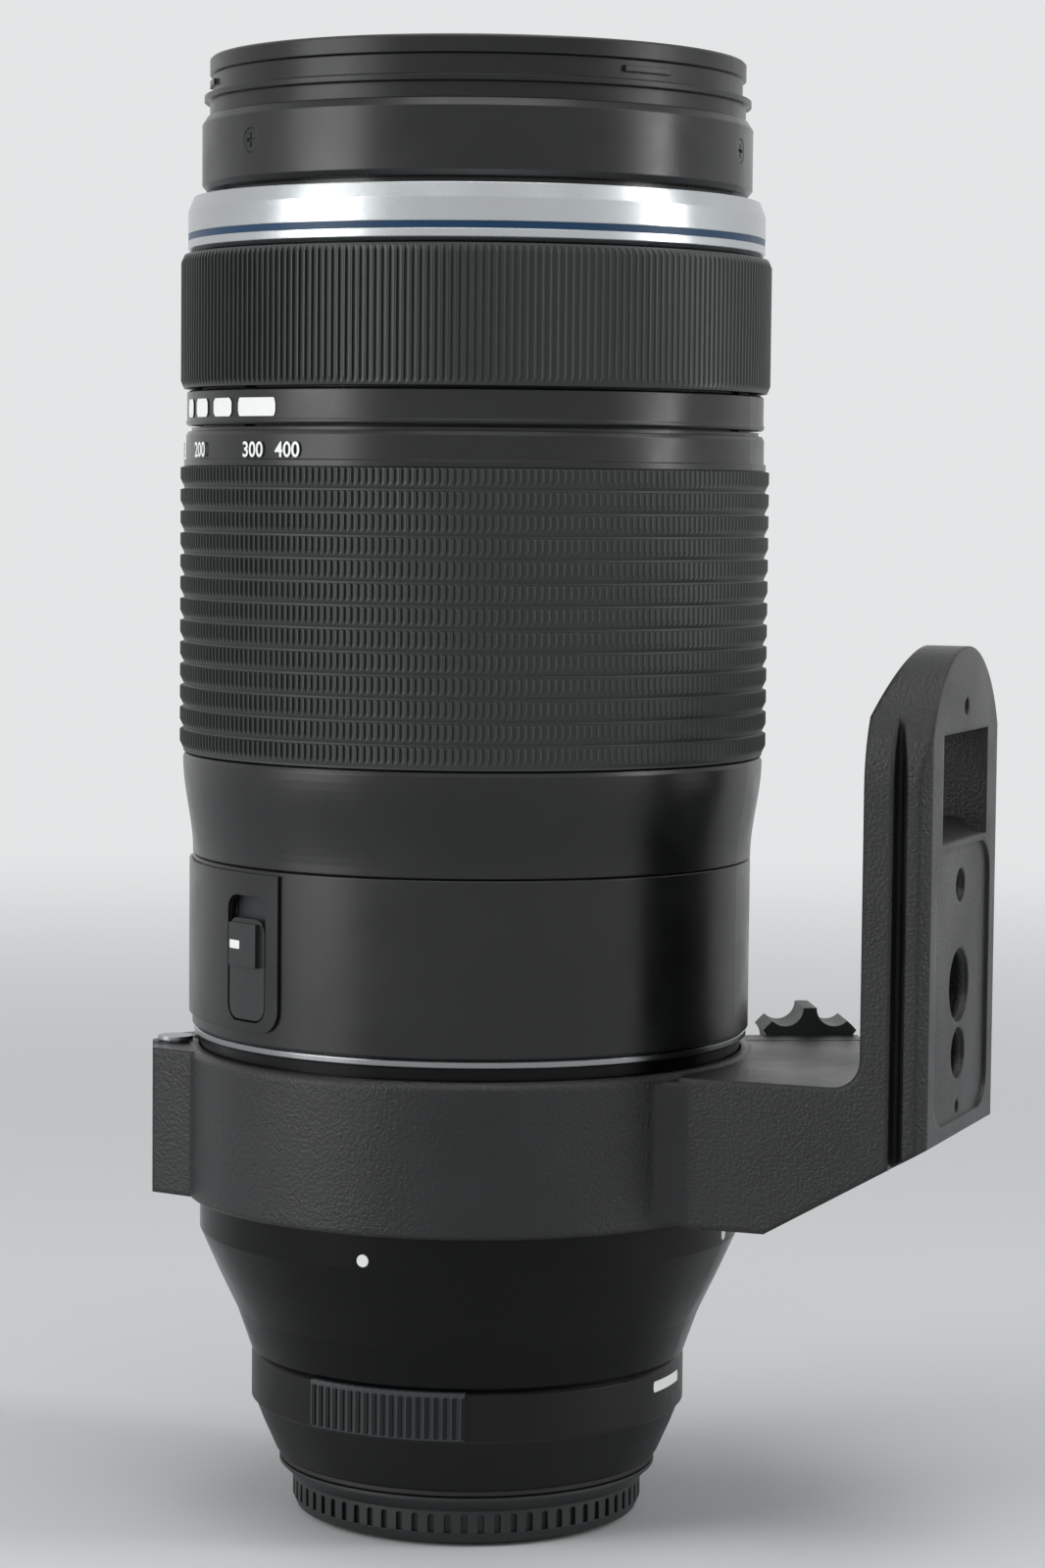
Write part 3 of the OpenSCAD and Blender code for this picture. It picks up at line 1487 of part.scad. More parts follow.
module clamp_screw() {
    color("#b9bcbe") {
        clamp_round(clamp_screw_r, split_b - clamp_engage, knob_from + knob_h - 2 * wall);
        clamp_round(clamp_screw_r - edge, split_b - clamp_engage - wall, split_b - clamp_engage);
    }
}

rear_cap();
mount_ring();
mount_screws();
mount_gasket();
contact_block();
rear_skirt();
rear_baffle();
main_board();
flex_circuit();
tail_barrel();
alignment_dots();
bright_ring();
optics_frame();
frame_screws();
rear_cell();
rear_element();
aperture_unit();
aperture_blades();
guide_rods();
rod_cap();
focus_motor();
focus_cell();
focus_element();
stabiliser_base();
stabiliser_carriage();
stabiliser_cell();
stabiliser_element();
main_tube();
switch_barrel();
switch_panel();
focus_switch();
limiter_switch();
stabiliser_switch();
zoom_lock();
waist_ring();
index_band();
silver_ring();
blue_band();
dust_seal();
zoom_ring();
zoom_grip();
number_band();
drive_key();
cam_barrel();
zoom_cell();
zoom_element();
focus_ring();
extending_barrel();
cam_pins();
head_screws();
front_rim();
name_ring();
front_cell();
front_element();
second_element();
collar_foot();
collar_gate();
hinge_pin();
clamp_knob();
clamp_screw();
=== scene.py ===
"""A super telephoto lens standing on its rear cap: finishes, rubber grip, knurls and printed marks
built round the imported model, with a plain studio stage."""

import math

import bmesh
import bpy
import numpy as np
from mathutils import Matrix, Vector


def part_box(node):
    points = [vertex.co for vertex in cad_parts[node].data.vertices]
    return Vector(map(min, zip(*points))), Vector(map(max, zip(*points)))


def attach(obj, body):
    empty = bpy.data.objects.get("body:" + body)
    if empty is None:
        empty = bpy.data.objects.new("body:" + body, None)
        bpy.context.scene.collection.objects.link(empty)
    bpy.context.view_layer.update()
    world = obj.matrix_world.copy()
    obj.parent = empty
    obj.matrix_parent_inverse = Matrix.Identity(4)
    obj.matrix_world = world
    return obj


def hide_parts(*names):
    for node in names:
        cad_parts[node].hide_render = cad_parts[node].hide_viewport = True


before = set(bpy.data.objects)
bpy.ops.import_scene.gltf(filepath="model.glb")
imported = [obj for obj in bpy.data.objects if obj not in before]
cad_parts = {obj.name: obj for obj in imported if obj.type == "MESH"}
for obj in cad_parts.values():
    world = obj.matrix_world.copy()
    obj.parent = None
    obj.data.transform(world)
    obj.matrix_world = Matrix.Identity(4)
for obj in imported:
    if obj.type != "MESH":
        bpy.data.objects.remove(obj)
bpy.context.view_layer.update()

bl_info = {
    "name": "Telephoto lens dresser",
    "version": (1, 0, 0),
    "blender": (4, 5, 0),
    "location": "View3D > Sidebar > Lens",
    "description": "Gives the lens its finishes, grips, knurls and printed marks, and sets the stage",
    "category": "Object",
}

MM = 0.001
TURN = 2 * math.pi

# Fixed places on the barrel, in mm: the backs of the grips and pads, the focus ring's bore and chamfer,
# the skirt pads' height, and the heights and radii of the printed marks
GRIP_BACK, PAD_BACK = 0.6, 1.2
FOCUS_BORE, CHAMFER_TALL, CHAMFER_DEEP = 40.4, 1.1, 1.2
PAD_TALL, PAD_TOP, PAD_FOOT, PAD_LIP = 7.9, 0.05, 1.2, 0.1
NUMERAL_Z, CHIP_Z, LINE_Z, SKIRT_CHIP_Z = 156.9, 162.8, 163.1, 21.5
SKIRT_R, TICK_R, TICK_DROP = 32.2, 42.4, 3.7


# Colour

def linear(code):
    """The linear red, green, blue and alpha of an sRGB hex colour."""
    parts = [int(code[i:i + 2], 16) / 255 for i in (1, 3, 5)]
    return tuple(c / 12.92 if c <= 0.04045 else ((c + 0.055) / 1.055) ** 2.4 for c in parts) + (1.0,)


def swatch(name, description, code):
    return bpy.props.FloatVectorProperty(
        name=name, description=description, subtype="COLOR", size=4, min=0, max=1, default=linear(code))


def span(name, description, value):
    return bpy.props.FloatProperty(
        name=name, description=description, default=value * MM, unit="LENGTH", precision=4)


class LensSizes(bpy.types.PropertyGroup):
    """Sizes of the pieces that are built here, in metres."""
    rib_pitch: span("Rib pitch", "Distance between the raised ribs of the zoom grip", 3.1)
    rib_height: span("Rib height", "How far a rib stands above the valley beside it", 0.55)
    tooth_depth: span("Tooth depth", "Depth of the small teeth on each rib", 0.38)
    rib_teeth: bpy.props.IntProperty(
        name="Rib teeth", description="Small teeth round each rib", default=260, min=60, max=400)
    knurl_teeth: bpy.props.IntProperty(
        name="Focus teeth", description="Teeth round the focus ring", default=252, min=60, max=400)
    knurl_depth: span("Focus tooth depth", "Depth of the teeth of the focus ring", 0.38)
    skirt_ribs: bpy.props.IntProperty(
        name="Skirt ribs", description="Ribs of each grip pad of the mount end", default=19, min=8, max=30)
    skirt_angle: bpy.props.FloatProperty(
        name="Skirt pad angle", description="Degrees that a grip pad spans", default=44.0, min=20, max=80)
    skirt_rib_cover: span("Skirt rib cover", "How far a grip pad stands over the band", 0.02)
    skirt_rib_depth: span("Skirt rib depth", "Depth of the saw-shaped lines of a grip pad", 0.35)
    numeral_height: span("Numeral height", "Height of the focal length numbers", 2.1)
    print_depth: span("Print thickness", "How far printed marks stand above the paint", 0.03)


class LensColours(bpy.types.PropertyGroup):
    """Colours of the finishes."""
    satin: swatch("Satin black", "Anodised and painted barrel", "#141516")
    deep: swatch("Deep black", "Cone under the collar", "#070809")
    crackle: swatch("Crackle paint", "Collar and foot", "#1b1c1d")
    slate: swatch("Slate rubber", "Ribbed grip pads of the mount end", "#363c3e")
    rubber: swatch("Rubber", "Zoom grip", "#292c2c")
    knurl: swatch("Knurled ring", "Focus ring", "#2b2e2e")
    silver: swatch("Silver", "Front ring", "#b9bdbf")
    blue: swatch("Blue", "Inlaid ring", "#0b3657")
    print: swatch("White print", "Numbers and marks", "#f4f5f3")
    plastic: swatch("Moulded plastic", "Rear cap, knob and switches", "#1b1e1f")
    floor: swatch("Floor", "Studio floor and backdrop", "#e4e5e6")


def sizes():
    return bpy.context.scene.lens_sizes


def colours():
    return bpy.context.scene.lens_colours


# Shader nodes

def node(tree, kind, settings=None, **links):
    """Adds a node. Settings are its properties; links are its inputs, as values or as sockets, and an
    input named twice on the node is given by its number, as in _1."""
    made = tree.nodes.new(kind)
    for key, value in (settings or {}).items():
        setattr(made, key, value)
    for key, value in links.items():
        socket = made.inputs[int(key[1:])] if key[0] == "_" else made.inputs[key.replace("_", " ")]
        if isinstance(value, bpy.types.NodeSocket):
            tree.links.new(value, socket)
        else:
            socket.default_value = value
    return made


def finish(name, colour, rough, metal=0.0, grain=0.4, relief=0.006, stretch=(1, 1, 1), shade=0.12,
           swing=0.08, edge=0.25, patch=14.0, shader=None):
    """A procedural finish. Grain in mm is the size of the surface's texture and relief in mm its height.
    Stretch squeezes the texture along each axis, so turning marks run round a barrel. Shade and swing are
    how much the colour and roughness vary over patches of the given size in mm, and edge in mm is how
    far light rounds the sharp edges."""
    material = bpy.data.materials.new(name)
    material.use_nodes = True
    tree = material.node_tree
    tree.nodes.clear()
    where = node(tree, "ShaderNodeTexCoord").outputs["Object"]
    squeezed = node(tree, "ShaderNodeMapping", Vector=where, Scale=stretch).outputs["Vector"]
    fine = node(tree, "ShaderNodeTexNoise", Vector=squeezed, Scale=1 / (grain * MM), Detail=3.0,
                Roughness=0.6).outputs["Fac"]
    broad = node(tree, "ShaderNodeTexNoise", Vector=where, Scale=1 / (patch * MM), Detail=4.0,
                 Roughness=0.55).outputs["Fac"]
    blend = node(tree, "ShaderNodeMath", {"operation": "MULTIPLY_ADD"}, _0=fine, _1=0.5,
                 _2=node(tree, "ShaderNodeMath", {"operation": "MULTIPLY"}, _0=broad, _1=0.5
                         ).outputs[0]).outputs[0]
    dark = [c * (1 - shade) for c in colour[:3]] + [1.0]
    light = [min(1.0, c * (1 + shade)) for c in colour[:3]] + [1.0]
    tone = node(tree, "ShaderNodeMapRange", Value=blend, From_Min=0.35, From_Max=0.65).outputs[0]
    paint = node(tree, "ShaderNodeMix", {"data_type": "RGBA"}, _0=tone, _6=dark, _7=light).outputs[2]
    gloss = node(tree, "ShaderNodeMapRange", Value=broad, From_Min=0.3, From_Max=0.7,
                 To_Min=max(0.02, rough - swing), To_Max=min(1.0, rough + swing)).outputs[0]
    rounded = node(tree, "ShaderNodeBevel", {"samples": 4}, Radius=edge * MM).outputs[0]
    bump = node(tree, "ShaderNodeBump", Strength=1.0, Distance=relief * MM, Height=fine,
                Normal=rounded).outputs[0]
    values = {"Base_Color": paint, "Roughness": gloss, "Metallic": metal, "Normal": bump}
    values.update(shader or {})
    principled = node(tree, "ShaderNodeBsdfPrincipled", **values)
    node(tree, "ShaderNodeOutputMaterial", Surface=principled.outputs[0])
    return material


def wear(names, material):
    """Gives CAD nodes a finish by their material slots."""
    for name in names.split():
        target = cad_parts[name]
        target.data.materials.clear()
        target.data.materials.append(material)


# Meshes

def piece(name, points, faces, body, material, smooth=30, stands_for=()):
    """A finished piece: its mesh, its body and its finish. Coincident points are merged."""
    mesh = bpy.data.meshes.new(name)
    mesh.from_pydata(np.asarray(points).reshape(-1, 3), [], np.asarray(faces).tolist())
    work = bmesh.new()
    work.from_mesh(mesh)
    bmesh.ops.remove_doubles(work, verts=work.verts, dist=1e-6)
    bmesh.ops.dissolve_degenerate(work, edges=work.edges, dist=1e-7)
    work.to_mesh(mesh)
    work.free()
    mesh.shade_smooth()
    mesh.set_sharp_from_angle(angle=math.radians(smooth))
    made = bpy.data.objects.new(name, mesh)
    bpy.context.scene.collection.objects.link(made)
    made.data.materials.append(material)
    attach(made, body)
    if stands_for:
        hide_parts(*stands_for)
    return made


def grid_faces(rows, columns, wrap_rows=True, wrap_columns=True):
    """Quads of a grid of points, row by row, closed round either way."""
    i = np.arange(rows if wrap_rows else rows - 1)[:, None]
    j = np.arange(columns if wrap_columns else columns - 1)[None, :]
    i1, j1 = (i + 1) % rows, (j + 1) % columns
    corners = [i * columns + j, i1 * columns + j, i1 * columns + j1, i * columns + j1]
    return np.stack(corners, -1).reshape(-1, 4)


def slid(loop, feet, drop):
    """Slides the corners of a loop of radius and height down their slopes. The place s of the column that
    drops by d is p(s) + m (q(s) - p(s)), where q(s) is the foot of the slope that p(s) heads, and m is d
    over the slope's fall in radius, or 0 where p(s) has no slope. So a tooth runs out on a slant."""
    loop, feet = np.array(loop, float), np.array(feet, float)
    fall = loop[:, 0] - feet[:, 0]
    return loop + (drop[:, None] / np.where(fall > 0, fall, np.inf))[..., None] * (feet - loop)


def turned(angle, profile):
    """Carries a profile for each angle t round the axis: (r cos t, r sin t, z)."""
    return np.stack([profile[..., 0] * np.cos(angle), profile[..., 0] * np.sin(angle), profile[..., 1]], -1)


def knurled(loop, feet, teeth, depth):
    """A closed loop of radius and height carried round the axis, with teeth cut from its outer side. Each
    tooth has a gently rising face, a thin ridge at its right and a steep drop: within a tooth the share u
    runs from 0 to 1, the tooth's height h(u) from 0 to 1, and the corners slide down by depth (1 - h)."""
    share = np.array([0.0, 0.55, 0.74, 0.92])
    high = np.tile([0.0, 0.35, 1.0, 1.0], teeth)
    angle = ((np.arange(teeth)[:, None] + share) / teeth * TURN).reshape(-1, 1)
    return turned(angle, slid(loop, feet, depth * (1 - high))), grid_faces(len(angle), len(loop))


def wrap(flat, bearing, height, radius):
    """Bends a flat drawing on to a barrel: x runs round it, y runs up and z out. The point at x, y, z goes
    to radius + z from the axis, at bearing + x / radius from -Y towards +X, at height + y."""
    turn = math.radians(bearing) + flat[:, 0] / radius
    out = radius + flat[:, 2]
    return np.stack([out * np.sin(turn), -out * np.cos(turn), height + flat[:, 1]], -1)


def plate(width, height, corner, thick, steps=64):
    """A flat plate with round corners. Its outline is a big circle pulled on to the rectangle that is one
    corner radius smaller all round, then pushed out by that radius. It is carried from a point at the
    back's middle, over the edge, to a point at the front's middle."""
    t = (np.arange(steps) + 0.5) / steps * TURN
    half = np.array([width, height]) / 2 - corner
    big = np.stack([np.cos(t), np.sin(t)], -1) * np.hypot(*half) * 1.02
    core = np.clip(big, -half, half)
    out = big - core
    outline = core + corner * out / np.maximum(np.linalg.norm(out, axis=1, keepdims=True), 1e-12)
    inner = np.linspace(0, 1, 7)
    rows = [(share, 0) for share in inner] + [(share, thick) for share in inner[::-1]]
    points = np.concatenate([np.concatenate([outline * s, np.full((steps, 1), z)], 1) for s, z in rows])
    return points, grid_faces(len(rows), steps, wrap_rows=False)[:, ::-1]


class LENS_OT_finishes(bpy.types.Operator):
    """Gives every carried-over node of the lens its real finish"""
    bl_idname = "lens.finishes"
    bl_label = "Finishes"

    def execute(self, context):
        c = colours()
        # Satin black paint over aluminium: fine orange peel, soft wide highlights
        wear("switch_barrel switch_panel waist_ring index_band number_band extending_barrel",
             finish("satin_black_paint", c.satin, 0.30, grain=0.5, relief=0.004,
                    shader={"Specular_IOR_Level": 0.42}))
        # Gloss black paint: a darker, tighter highlight
        wear("tail_barrel", finish("gloss_black_paint", c.deep, 0.28, grain=0.6, relief=0.003,
                                   shader={"Specular_IOR_Level": 0.16}))
        wear("rear_skirt", finish("semi_matt_black_paint", c.deep, 0.4, grain=0.4, relief=0.004,
                                  shader={"Specular_IOR_Level": 0.25}))
        wear("front_rim", finish("black_anodised_rim", c.satin, 0.34, metal=0.3, stretch=(0.05, 0.05, 1),
                                 grain=0.15))
        # Crackle paint: sprayed so that it dries in small bumps, about 0.5 mm apart
        crackle = finish("crackle_paint", c.crackle, 0.36, grain=0.5, relief=0.15, shade=0.25, edge=1.1,
                         shader={"Specular_IOR_Level": 0.4})
        wear("collar_foot collar_gate", crackle)
        # Turned aluminium, fine tool marks round the axis
        lathe = dict(metal=1.0, stretch=(0.04, 0.04, 1.0), grain=0.12, relief=0.004)
        wear("silver_ring", finish("satin_anodised_silver", c.silver, 0.27, swing=0.05, shade=0.03, **lathe))
        wear("bright_ring", finish("turned_aluminium", linear("#8e9192"), 0.24, **lathe))
        wear("mount_ring", finish("plated_brass", linear("#c9cccd"), 0.18, **lathe))
        wear("cam_barrel", finish("machined_brass", linear("#c9b067"), 0.3, **lathe))
        wear("optics_frame main_tube zoom_ring rod_cap stabiliser_base stabiliser_carriage",
             finish("black_anodised_aluminium", linear("#33353a"), 0.5, metal=0.6, stretch=(0.05, 0.05, 1)))
        wear("blue_band", finish("blue_enamel", c.blue, 0.38, swing=0.03, shade=0.05, relief=0.001,
                                 shader={"Specular_IOR_Level": 0.3}))
        wear("alignment_dots", finish("white_enamel", c.print, 0.35, shade=0.03))
        wear("rear_cap clamp_knob", finish("moulded_abs", c.plastic, 0.48, grain=0.25, relief=0.006))
        wear("focus_switch limiter_switch stabiliser_switch zoom_lock contact_block",
             finish("moulded_polycarbonate", c.plastic, 0.38, grain=0.3, relief=0.004))
        wear("name_ring rear_baffle rear_cell front_cell zoom_cell focus_cell stabiliser_cell aperture_unit",
             finish("flocked_black", linear("#151617"), 0.8, grain=0.3, relief=0.01))
        wear("aperture_blades", finish("blackened_spring_steel", linear("#26282b"), 0.4, metal=0.8))
        wear("mount_gasket dust_seal", finish("seal_rubber", linear("#1a1a1b"), 0.7))
        wear("head_screws", finish("black_oxide_steel", linear("#3a3c3d"), 0.3, metal=0.9, grain=0.2))
        wear("mount_screws frame_screws hinge_pin drive_key",
             finish("zinc_plated_steel", linear("#9b9fa2"), 0.32, metal=1.0, grain=0.2))
        wear("guide_rods cam_pins clamp_screw focus_motor",
             finish("ground_steel", linear("#c3c7ca"), 0.22, metal=1.0, grain=0.15))
        wear("main_board", finish("solder_mask", linear("#1f6b46"), 0.35))
        wear("flex_circuit", finish("polyimide_film", linear("#b9752a"), 0.3))
        # Coated optical glass: clear, with a faint green and purple bloom from its coating
        glass = finish("coated_optical_glass", linear("#f3f8f6"), 0.03, swing=0.01, shade=0.01, relief=0.0,
                       edge=0.1, shader={"Transmission_Weight": 1.0, "IOR": 1.52,
                                         "Thin_Film_Thickness": 320.0, "Thin_Film_IOR": 1.38})
        wear("front_element second_element zoom_element focus_element stabiliser_element rear_element",
             glass)
        return {"FINISHED"}


class LENS_OT_zoom_grip(bpy.types.Operator):
    """Moulds the rubber zoom grip with its knurled ribs"""
    bl_idname = "lens.zoom_grip"
    bl_label = "Zoom grip"

    def execute(self, context):
        s = sizes()
        low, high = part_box("zoom_grip")
        crest = high[0]
        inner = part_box("number_band")[1][0] - GRIP_BACK * MM
        count = max(3, int(round((high[2] - low[2]) / s.rib_pitch)))
        pitch = (high[2] - low[2]) / count
        base = low[2] + np.arange(count)[:, None] * pitch
        valley, foot = crest - s.rib_height, [0.0, 0.08, 0.08, 1.0]
        # One rib from its valley up: a floor, a long slope, a land with teeth and a steep top edge
        corners = base + np.array([0.0, 0.08, 0.45, 0.95]) * pitch
        radius = np.tile([valley, valley, crest, crest], count)
        closing = [[valley, high[2]], [inner, high[2]], [inner, low[2]]]
        loop = np.concatenate([np.stack([radius, corners.ravel()], -1), closing])
        feet = np.concatenate([np.stack([radius * 0 + valley, (base + np.array(foot) * pitch).ravel()], -1),
                               closing])
        points, faces = knurled(loop, feet, s.rib_teeth, s.tooth_depth)
        # Natural rubber compound, moulded: dull, with a faint bloom
        rubber = finish("moulded_rubber", colours().rubber, 0.52, grain=0.3, relief=0.006, edge=0.05)
        piece("zoom_grip_rubber", points, faces, "zoom", rubber, 20, ("zoom_grip",))
        return {"FINISHED"}


class LENS_OT_focus_knurl(bpy.types.Operator):
    """Cuts the upright teeth of the focus ring"""
    bl_idname = "lens.focus_knurl"
    bl_label = "Focus ring"

    def execute(self, context):
        s = sizes()
        low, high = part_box("focus_ring")
        crest, inner = high[0], FOCUS_BORE * MM
        z0, z1 = low[2], high[2]
        # A chamfer at each end, a little deeper than the teeth, on which they run out
        foot, tall = crest - CHAMFER_DEEP * s.knurl_depth, CHAMFER_TALL * MM
        closing = [[foot, z1], [inner, z1], [inner, z0]]
        points, faces = knurled([[foot, z0], [crest, z0 + tall], [crest, z1 - tall]] + closing,
                                [[foot, z0], [foot, z0], [foot, z1]] + closing, s.knurl_teeth, s.knurl_depth)
        knurl = finish("knurled_anodised_aluminium", colours().knurl, 0.42, metal=0.2, grain=0.25,
                       relief=0.004, edge=0.05)
        piece("focus_ring_knurl", points, faces, "focus", knurl, 20, ("focus_ring",))
        return {"FINISHED"}


class LENS_OT_skirt_grips(bpy.types.Operator):
    """Lays the two ribbed grip pads over the ribs of the mount end's band"""
    bl_idname = "lens.skirt_grips"
    bl_label = "Skirt grips"

    def execute(self, context):
        s = sizes()
        low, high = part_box("rear_skirt")
        crest, inner = s.skirt_rib_cover - low[1], high[0] - PAD_BACK * MM
        slate = finish("moulded_slate_rubber", colours().slate, 0.5, grain=0.2, relief=0.006, edge=0.1)
        count, width = s.skirt_ribs, math.radians(s.skirt_angle)
        share = np.array([0.0, 0.1, 0.55, 1.0]) * 0.97 + 0.015
        turn = ((np.arange(count)[:, None] + share).ravel() / count - 0.5) * width
        # Each rib falls away from its left edge, and its foot runs out on a slant
        drop = np.tile([1.0, 0.0, 0.5, 1.0], count) * s.skirt_rib_depth
        drop[[0, -1]] = crest - inner
        z0, z1 = high[2] - PAD_TALL * MM, high[2] - PAD_TOP * MM
        loop = [[inner, z0], [crest, z0 + PAD_FOOT * MM], [crest, z1 - PAD_LIP * MM], [inner, z1]]
        profile = slid(loop, [[inner, z0], [inner, z0], [inner, z1], [inner, z1]], drop)
        for name, bearing in (("skirt_grip_front", 0.0), ("skirt_grip_back", 180.0)):
            points = turned(turn[:, None] + math.radians(bearing - 90), profile)
            piece(name, points, grid_faces(len(turn), len(loop), wrap_rows=False), "barrel",
                  slate, 20)
        return {"FINISHED"}


class LENS_OT_marks(bpy.types.Operator):
    """Prints the focal lengths, the index line and the plain white marks"""
    bl_idname = "lens.marks"
    bl_label = "Printed marks"

    def execute(self, context):
        s = sizes()
        # Screen-printed epoxy ink: white, a little raised, softly glossy
        ink = finish("white_epoxy_ink", colours().print, 0.4, shade=0.03, relief=0.002, edge=0.02)
        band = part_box("number_band")[1][0]
        # Each number and its bearing in degrees
        for number, bearing in (("400", -16.0), ("300", -25.2), ("200", -45.7), ("150", -66.0),
                                ("100", -90.0)):
            curve = bpy.data.curves.new("numeral", "FONT")
            curve.body = number
            curve.size = s.numeral_height / 0.7
            curve.align_x = "CENTER"
            curve.extrude = s.print_depth / 2
            curve.offset = 0.05 * MM
            curve.resolution_u = 4
            text = bpy.data.objects.new("numeral", curve)
            context.scene.collection.objects.link(text)
            context.view_layer.update()
            mesh = bpy.data.meshes.new_from_object(text)
            flat = np.empty(len(mesh.vertices) * 3)
            mesh.vertices.foreach_get("co", flat)
            flat = flat.reshape(-1, 3)
            points = wrap(flat, bearing, NUMERAL_Z * MM - s.numeral_height / 2, band)
            faces = [list(p.vertices) for p in mesh.polygons]
            bpy.data.objects.remove(text)
            made = bpy.data.meshes.new("focal_length_" + number)
            made.from_pydata(points, [], faces)
            shown = bpy.data.objects.new("focal_length_" + number, made)
            context.scene.collection.objects.link(shown)
            made.materials.append(ink)
            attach(shown, "zoom")
        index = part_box("index_band")[1][0]
        tick_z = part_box("zoom_lock")[1][2] / MM - TICK_DROP
        # Each mark's bearing in degrees, height, width, tallness and corner in mm, and its barrel's radius
        chips = [("index_line", -90.0, LINE_Z, 0.5, 4.0, 0.1, index),
                 ("chip_a", -24.7, CHIP_Z, 8.0, 2.6, 0.5, index),
                 ("chip_b", -35.9, CHIP_Z, 5.2, 2.6, 0.5, index),
                 ("chip_c", -45.5, CHIP_Z, 4.7, 2.6, 0.5, index),
                 ("chip_d", -53.6, CHIP_Z, 3.4, 2.6, 0.5, index),
                 ("skirt_chip", 87.5, SKIRT_CHIP_Z, 9.5, 1.6, 0.3, SKIRT_R * MM),
                 ("lock_tick", -30.6, tick_z, 2.4, 1.2, 0.1, TICK_R * MM)]
        for name, bearing, height, width, tall, corner, radius in chips:
            flat, faces = plate(width * MM, tall * MM, corner * MM, s.print_depth)
            body = "lock" if name == "lock_tick" else "barrel"
            piece(name, wrap(flat, bearing, height * MM, radius), faces, body, ink)
        return {"FINISHED"}


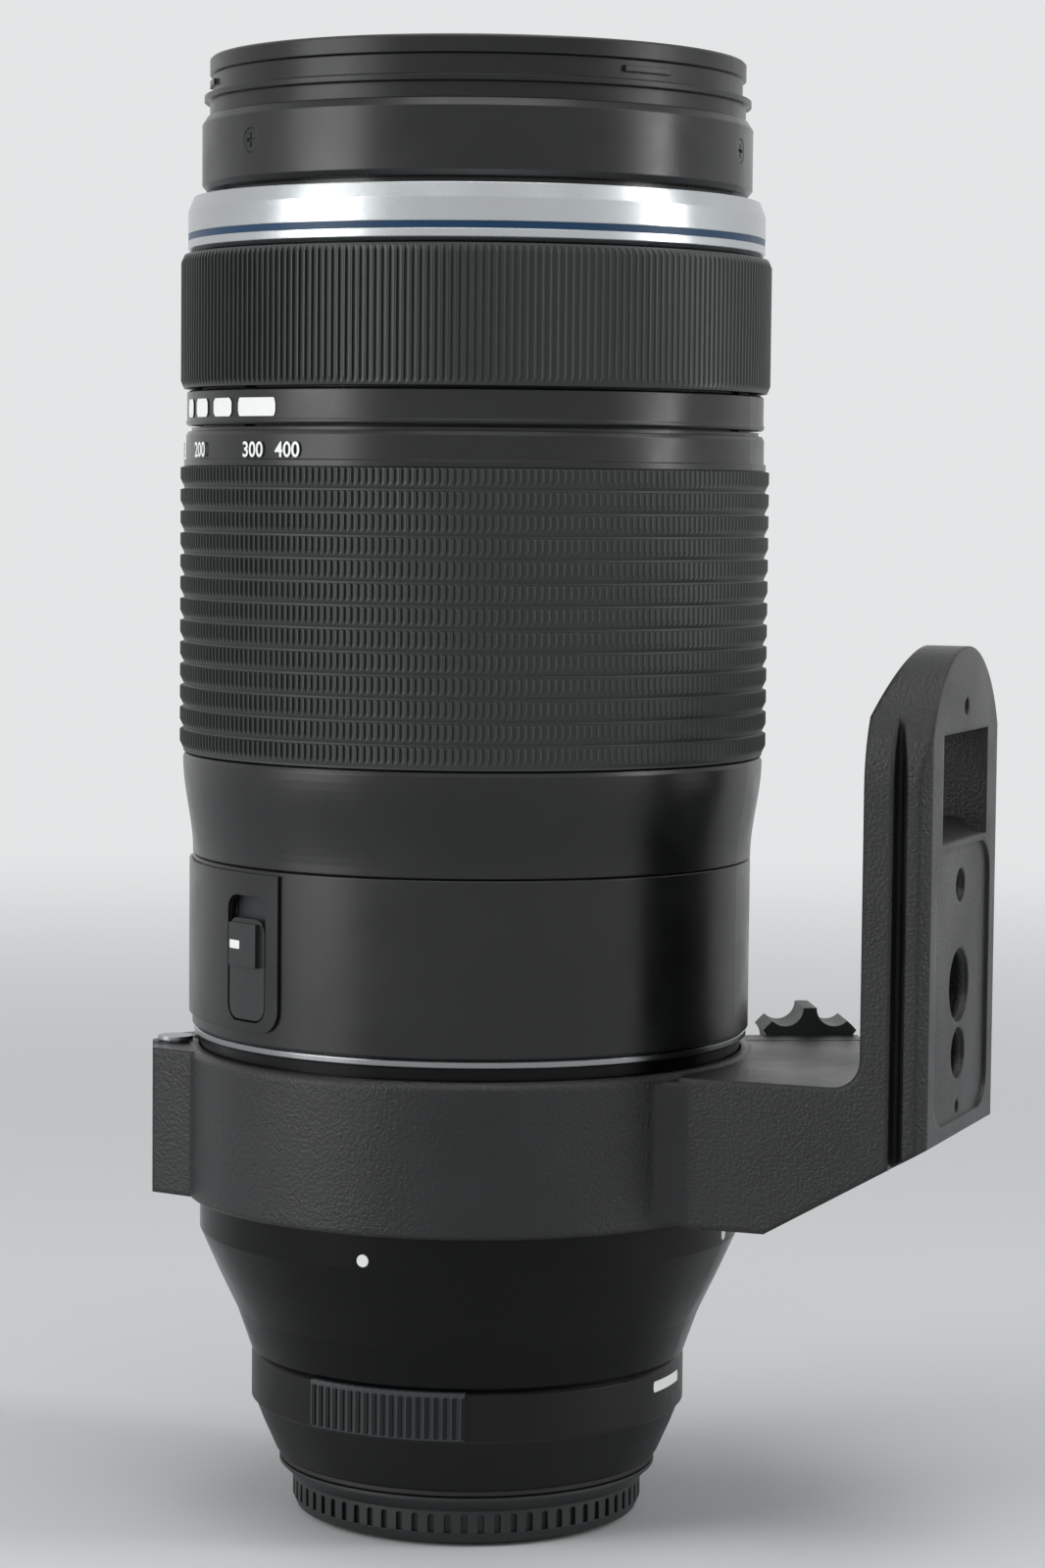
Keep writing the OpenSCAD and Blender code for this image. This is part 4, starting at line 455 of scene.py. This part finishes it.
class LENS_OT_stage(bpy.types.Operator):
    """Sets the floor, the pale surroundings, the soft lamps and the camera"""
    bl_idname = "lens.stage"
    bl_label = "Stage"

    def execute(self, context):
        scene = context.scene
        scene.view_settings.view_transform = "Standard"
        pale = colours().floor
        t = np.arange(96) / 96 * TURN
        rings = np.array([0.0, 0.2, 0.5, 1.0, 2.0, 4.0])
        points = np.stack([rings[:, None] * np.cos(t), rings[:, None] * np.sin(t),
                           np.full((6, 96), -0.0002)], -1).reshape(-1, 3)
        mesh = bpy.data.meshes.new("floor")
        mesh.from_pydata(points, [], grid_faces(6, 96, wrap_rows=False).tolist())
        floor = bpy.data.objects.new("floor", mesh)
        scene.collection.objects.link(floor)
        # Matt paper floor that fades into the surroundings away from the lens
        paper = bpy.data.materials.new("matt_paper")
        paper.use_nodes = True
        tree = paper.node_tree
        tree.nodes.clear()
        where = node(tree, "ShaderNodeTexCoord").outputs["Object"]
        far = node(tree, "ShaderNodeVectorMath", {"operation": "LENGTH"}, _0=where).outputs["Value"]
        fade = node(tree, "ShaderNodeMapRange", {"interpolation_type": "SMOOTHSTEP"}, Value=far,
                    From_Min=0.25, From_Max=1.1).outputs[0]
        fibre = node(tree, "ShaderNodeTexNoise", Vector=where, Scale=900.0, Detail=3.0).outputs["Fac"]
        bump = node(tree, "ShaderNodeBump", Strength=0.2, Distance=0.0001, Height=fibre).outputs[0]
        matt = node(tree, "ShaderNodeBsdfPrincipled", Base_Color=pale, Roughness=0.75, Normal=bump).outputs[0]
        glow = node(tree, "ShaderNodeEmission", Color=pale, Strength=1.0).outputs[0]
        node(tree, "ShaderNodeOutputMaterial",
             Surface=node(tree, "ShaderNodeMixShader", _0=fade, _1=matt, _2=glow).outputs[0])
        mesh.materials.append(paper)

        world = bpy.data.worlds.new("studio")
        world.use_nodes = True
        tree = world.node_tree
        tree.nodes.clear()
        path = node(tree, "ShaderNodeLightPath")
        seen = path.outputs["Is Camera Ray"]
        for ray in ("Is Glossy Ray", "Is Transmission Ray"):
            seen = node(tree, "ShaderNodeMath", {"operation": "MAXIMUM"}, _0=seen,
                        _1=path.outputs[ray]).outputs[0]
        fill = node(tree, "ShaderNodeBackground", Color=linear("#c4c9cc"), Strength=0.35).outputs[0]
        backdrop = node(tree, "ShaderNodeBackground", Color=pale, Strength=1.0).outputs[0]
        node(tree, "ShaderNodeOutputWorld",
             Surface=node(tree, "ShaderNodeMixShader", _0=seen, _1=fill, _2=backdrop).outputs[0])
        scene.world = world

        for name, place, power, wide, tall in (
                ("key_window", (-0.71, -0.815, 0.42), 7.5, 0.6, 0.95),
                ("rim_strip", (0.95, 0.15, 0.45), 4.0, 0.2, 0.8),
                ("top_softbox", (0.1, -0.2, 1.2), 5.0, 0.8, 0.8)):
            lamp = bpy.data.lights.new(name, "AREA")
            lamp.shape = "RECTANGLE"
            lamp.size, lamp.size_y, lamp.energy = wide, tall, power
            lit = bpy.data.objects.new(name, lamp)
            scene.collection.objects.link(lit)
            aim = Vector((0, 0, 0.1)) - Vector(place)
            lit.matrix_world = Matrix.Translation(place) @ aim.to_track_quat("-Z", "Y").to_matrix().to_4x4()

        # The photograph's viewpoint: 21 degrees round from -Y, tilted 4.3 degrees down
        view = bpy.data.cameras.new("camera")
        view.lens, view.sensor_width, view.sensor_fit = 91.302, 36.0, "AUTO"
        view.clip_start, view.clip_end = 0.01, 20.0
        camera = bpy.data.objects.new("camera", view)
        scene.collection.objects.link(camera)
        turn = Matrix.Rotation(math.radians(21.0), 4, "Z")
        spot = turn @ Vector((7.417 * MM, -587.342 * MM, 152.44 * MM))
        camera.matrix_world = (Matrix.Translation(spot) @ turn
                               @ Matrix.Rotation(math.radians(90 - 4.3194), 4, "X")
                               @ Matrix.Rotation(math.radians(0.5547), 4, "Z"))
        scene.camera = camera
        return {"FINISHED"}


STEPS = (LENS_OT_finishes, LENS_OT_zoom_grip, LENS_OT_focus_knurl, LENS_OT_skirt_grips,
         LENS_OT_marks, LENS_OT_stage)


class LENS_PT_panel(bpy.types.Panel):
    """Lists the pieces of the lens and its sizes and colours"""
    bl_label = "Lens"
    bl_idname = "LENS_PT_panel"
    bl_space_type = "VIEW_3D"
    bl_region_type = "UI"
    bl_category = "Lens"

    def draw(self, context):
        for group in (context.scene.lens_sizes, context.scene.lens_colours):
            for key in group.__annotations__:
                self.layout.prop(group, key)
        for step in STEPS:
            self.layout.operator(step.bl_idname)


CLASSES = (LensSizes, LensColours) + STEPS + (LENS_PT_panel,)


def register():
    for cls in CLASSES:
        bpy.utils.register_class(cls)
    bpy.types.Scene.lens_sizes = bpy.props.PointerProperty(type=LensSizes)
    bpy.types.Scene.lens_colours = bpy.props.PointerProperty(type=LensColours)


def unregister():
    del bpy.types.Scene.lens_colours
    del bpy.types.Scene.lens_sizes
    for cls in reversed(CLASSES):
        bpy.utils.unregister_class(cls)


def main():
    register()
    for step in STEPS:
        area, name = step.bl_idname.split(".")
        getattr(getattr(bpy.ops, area), name)()


if __name__ == "__main__":
    main()
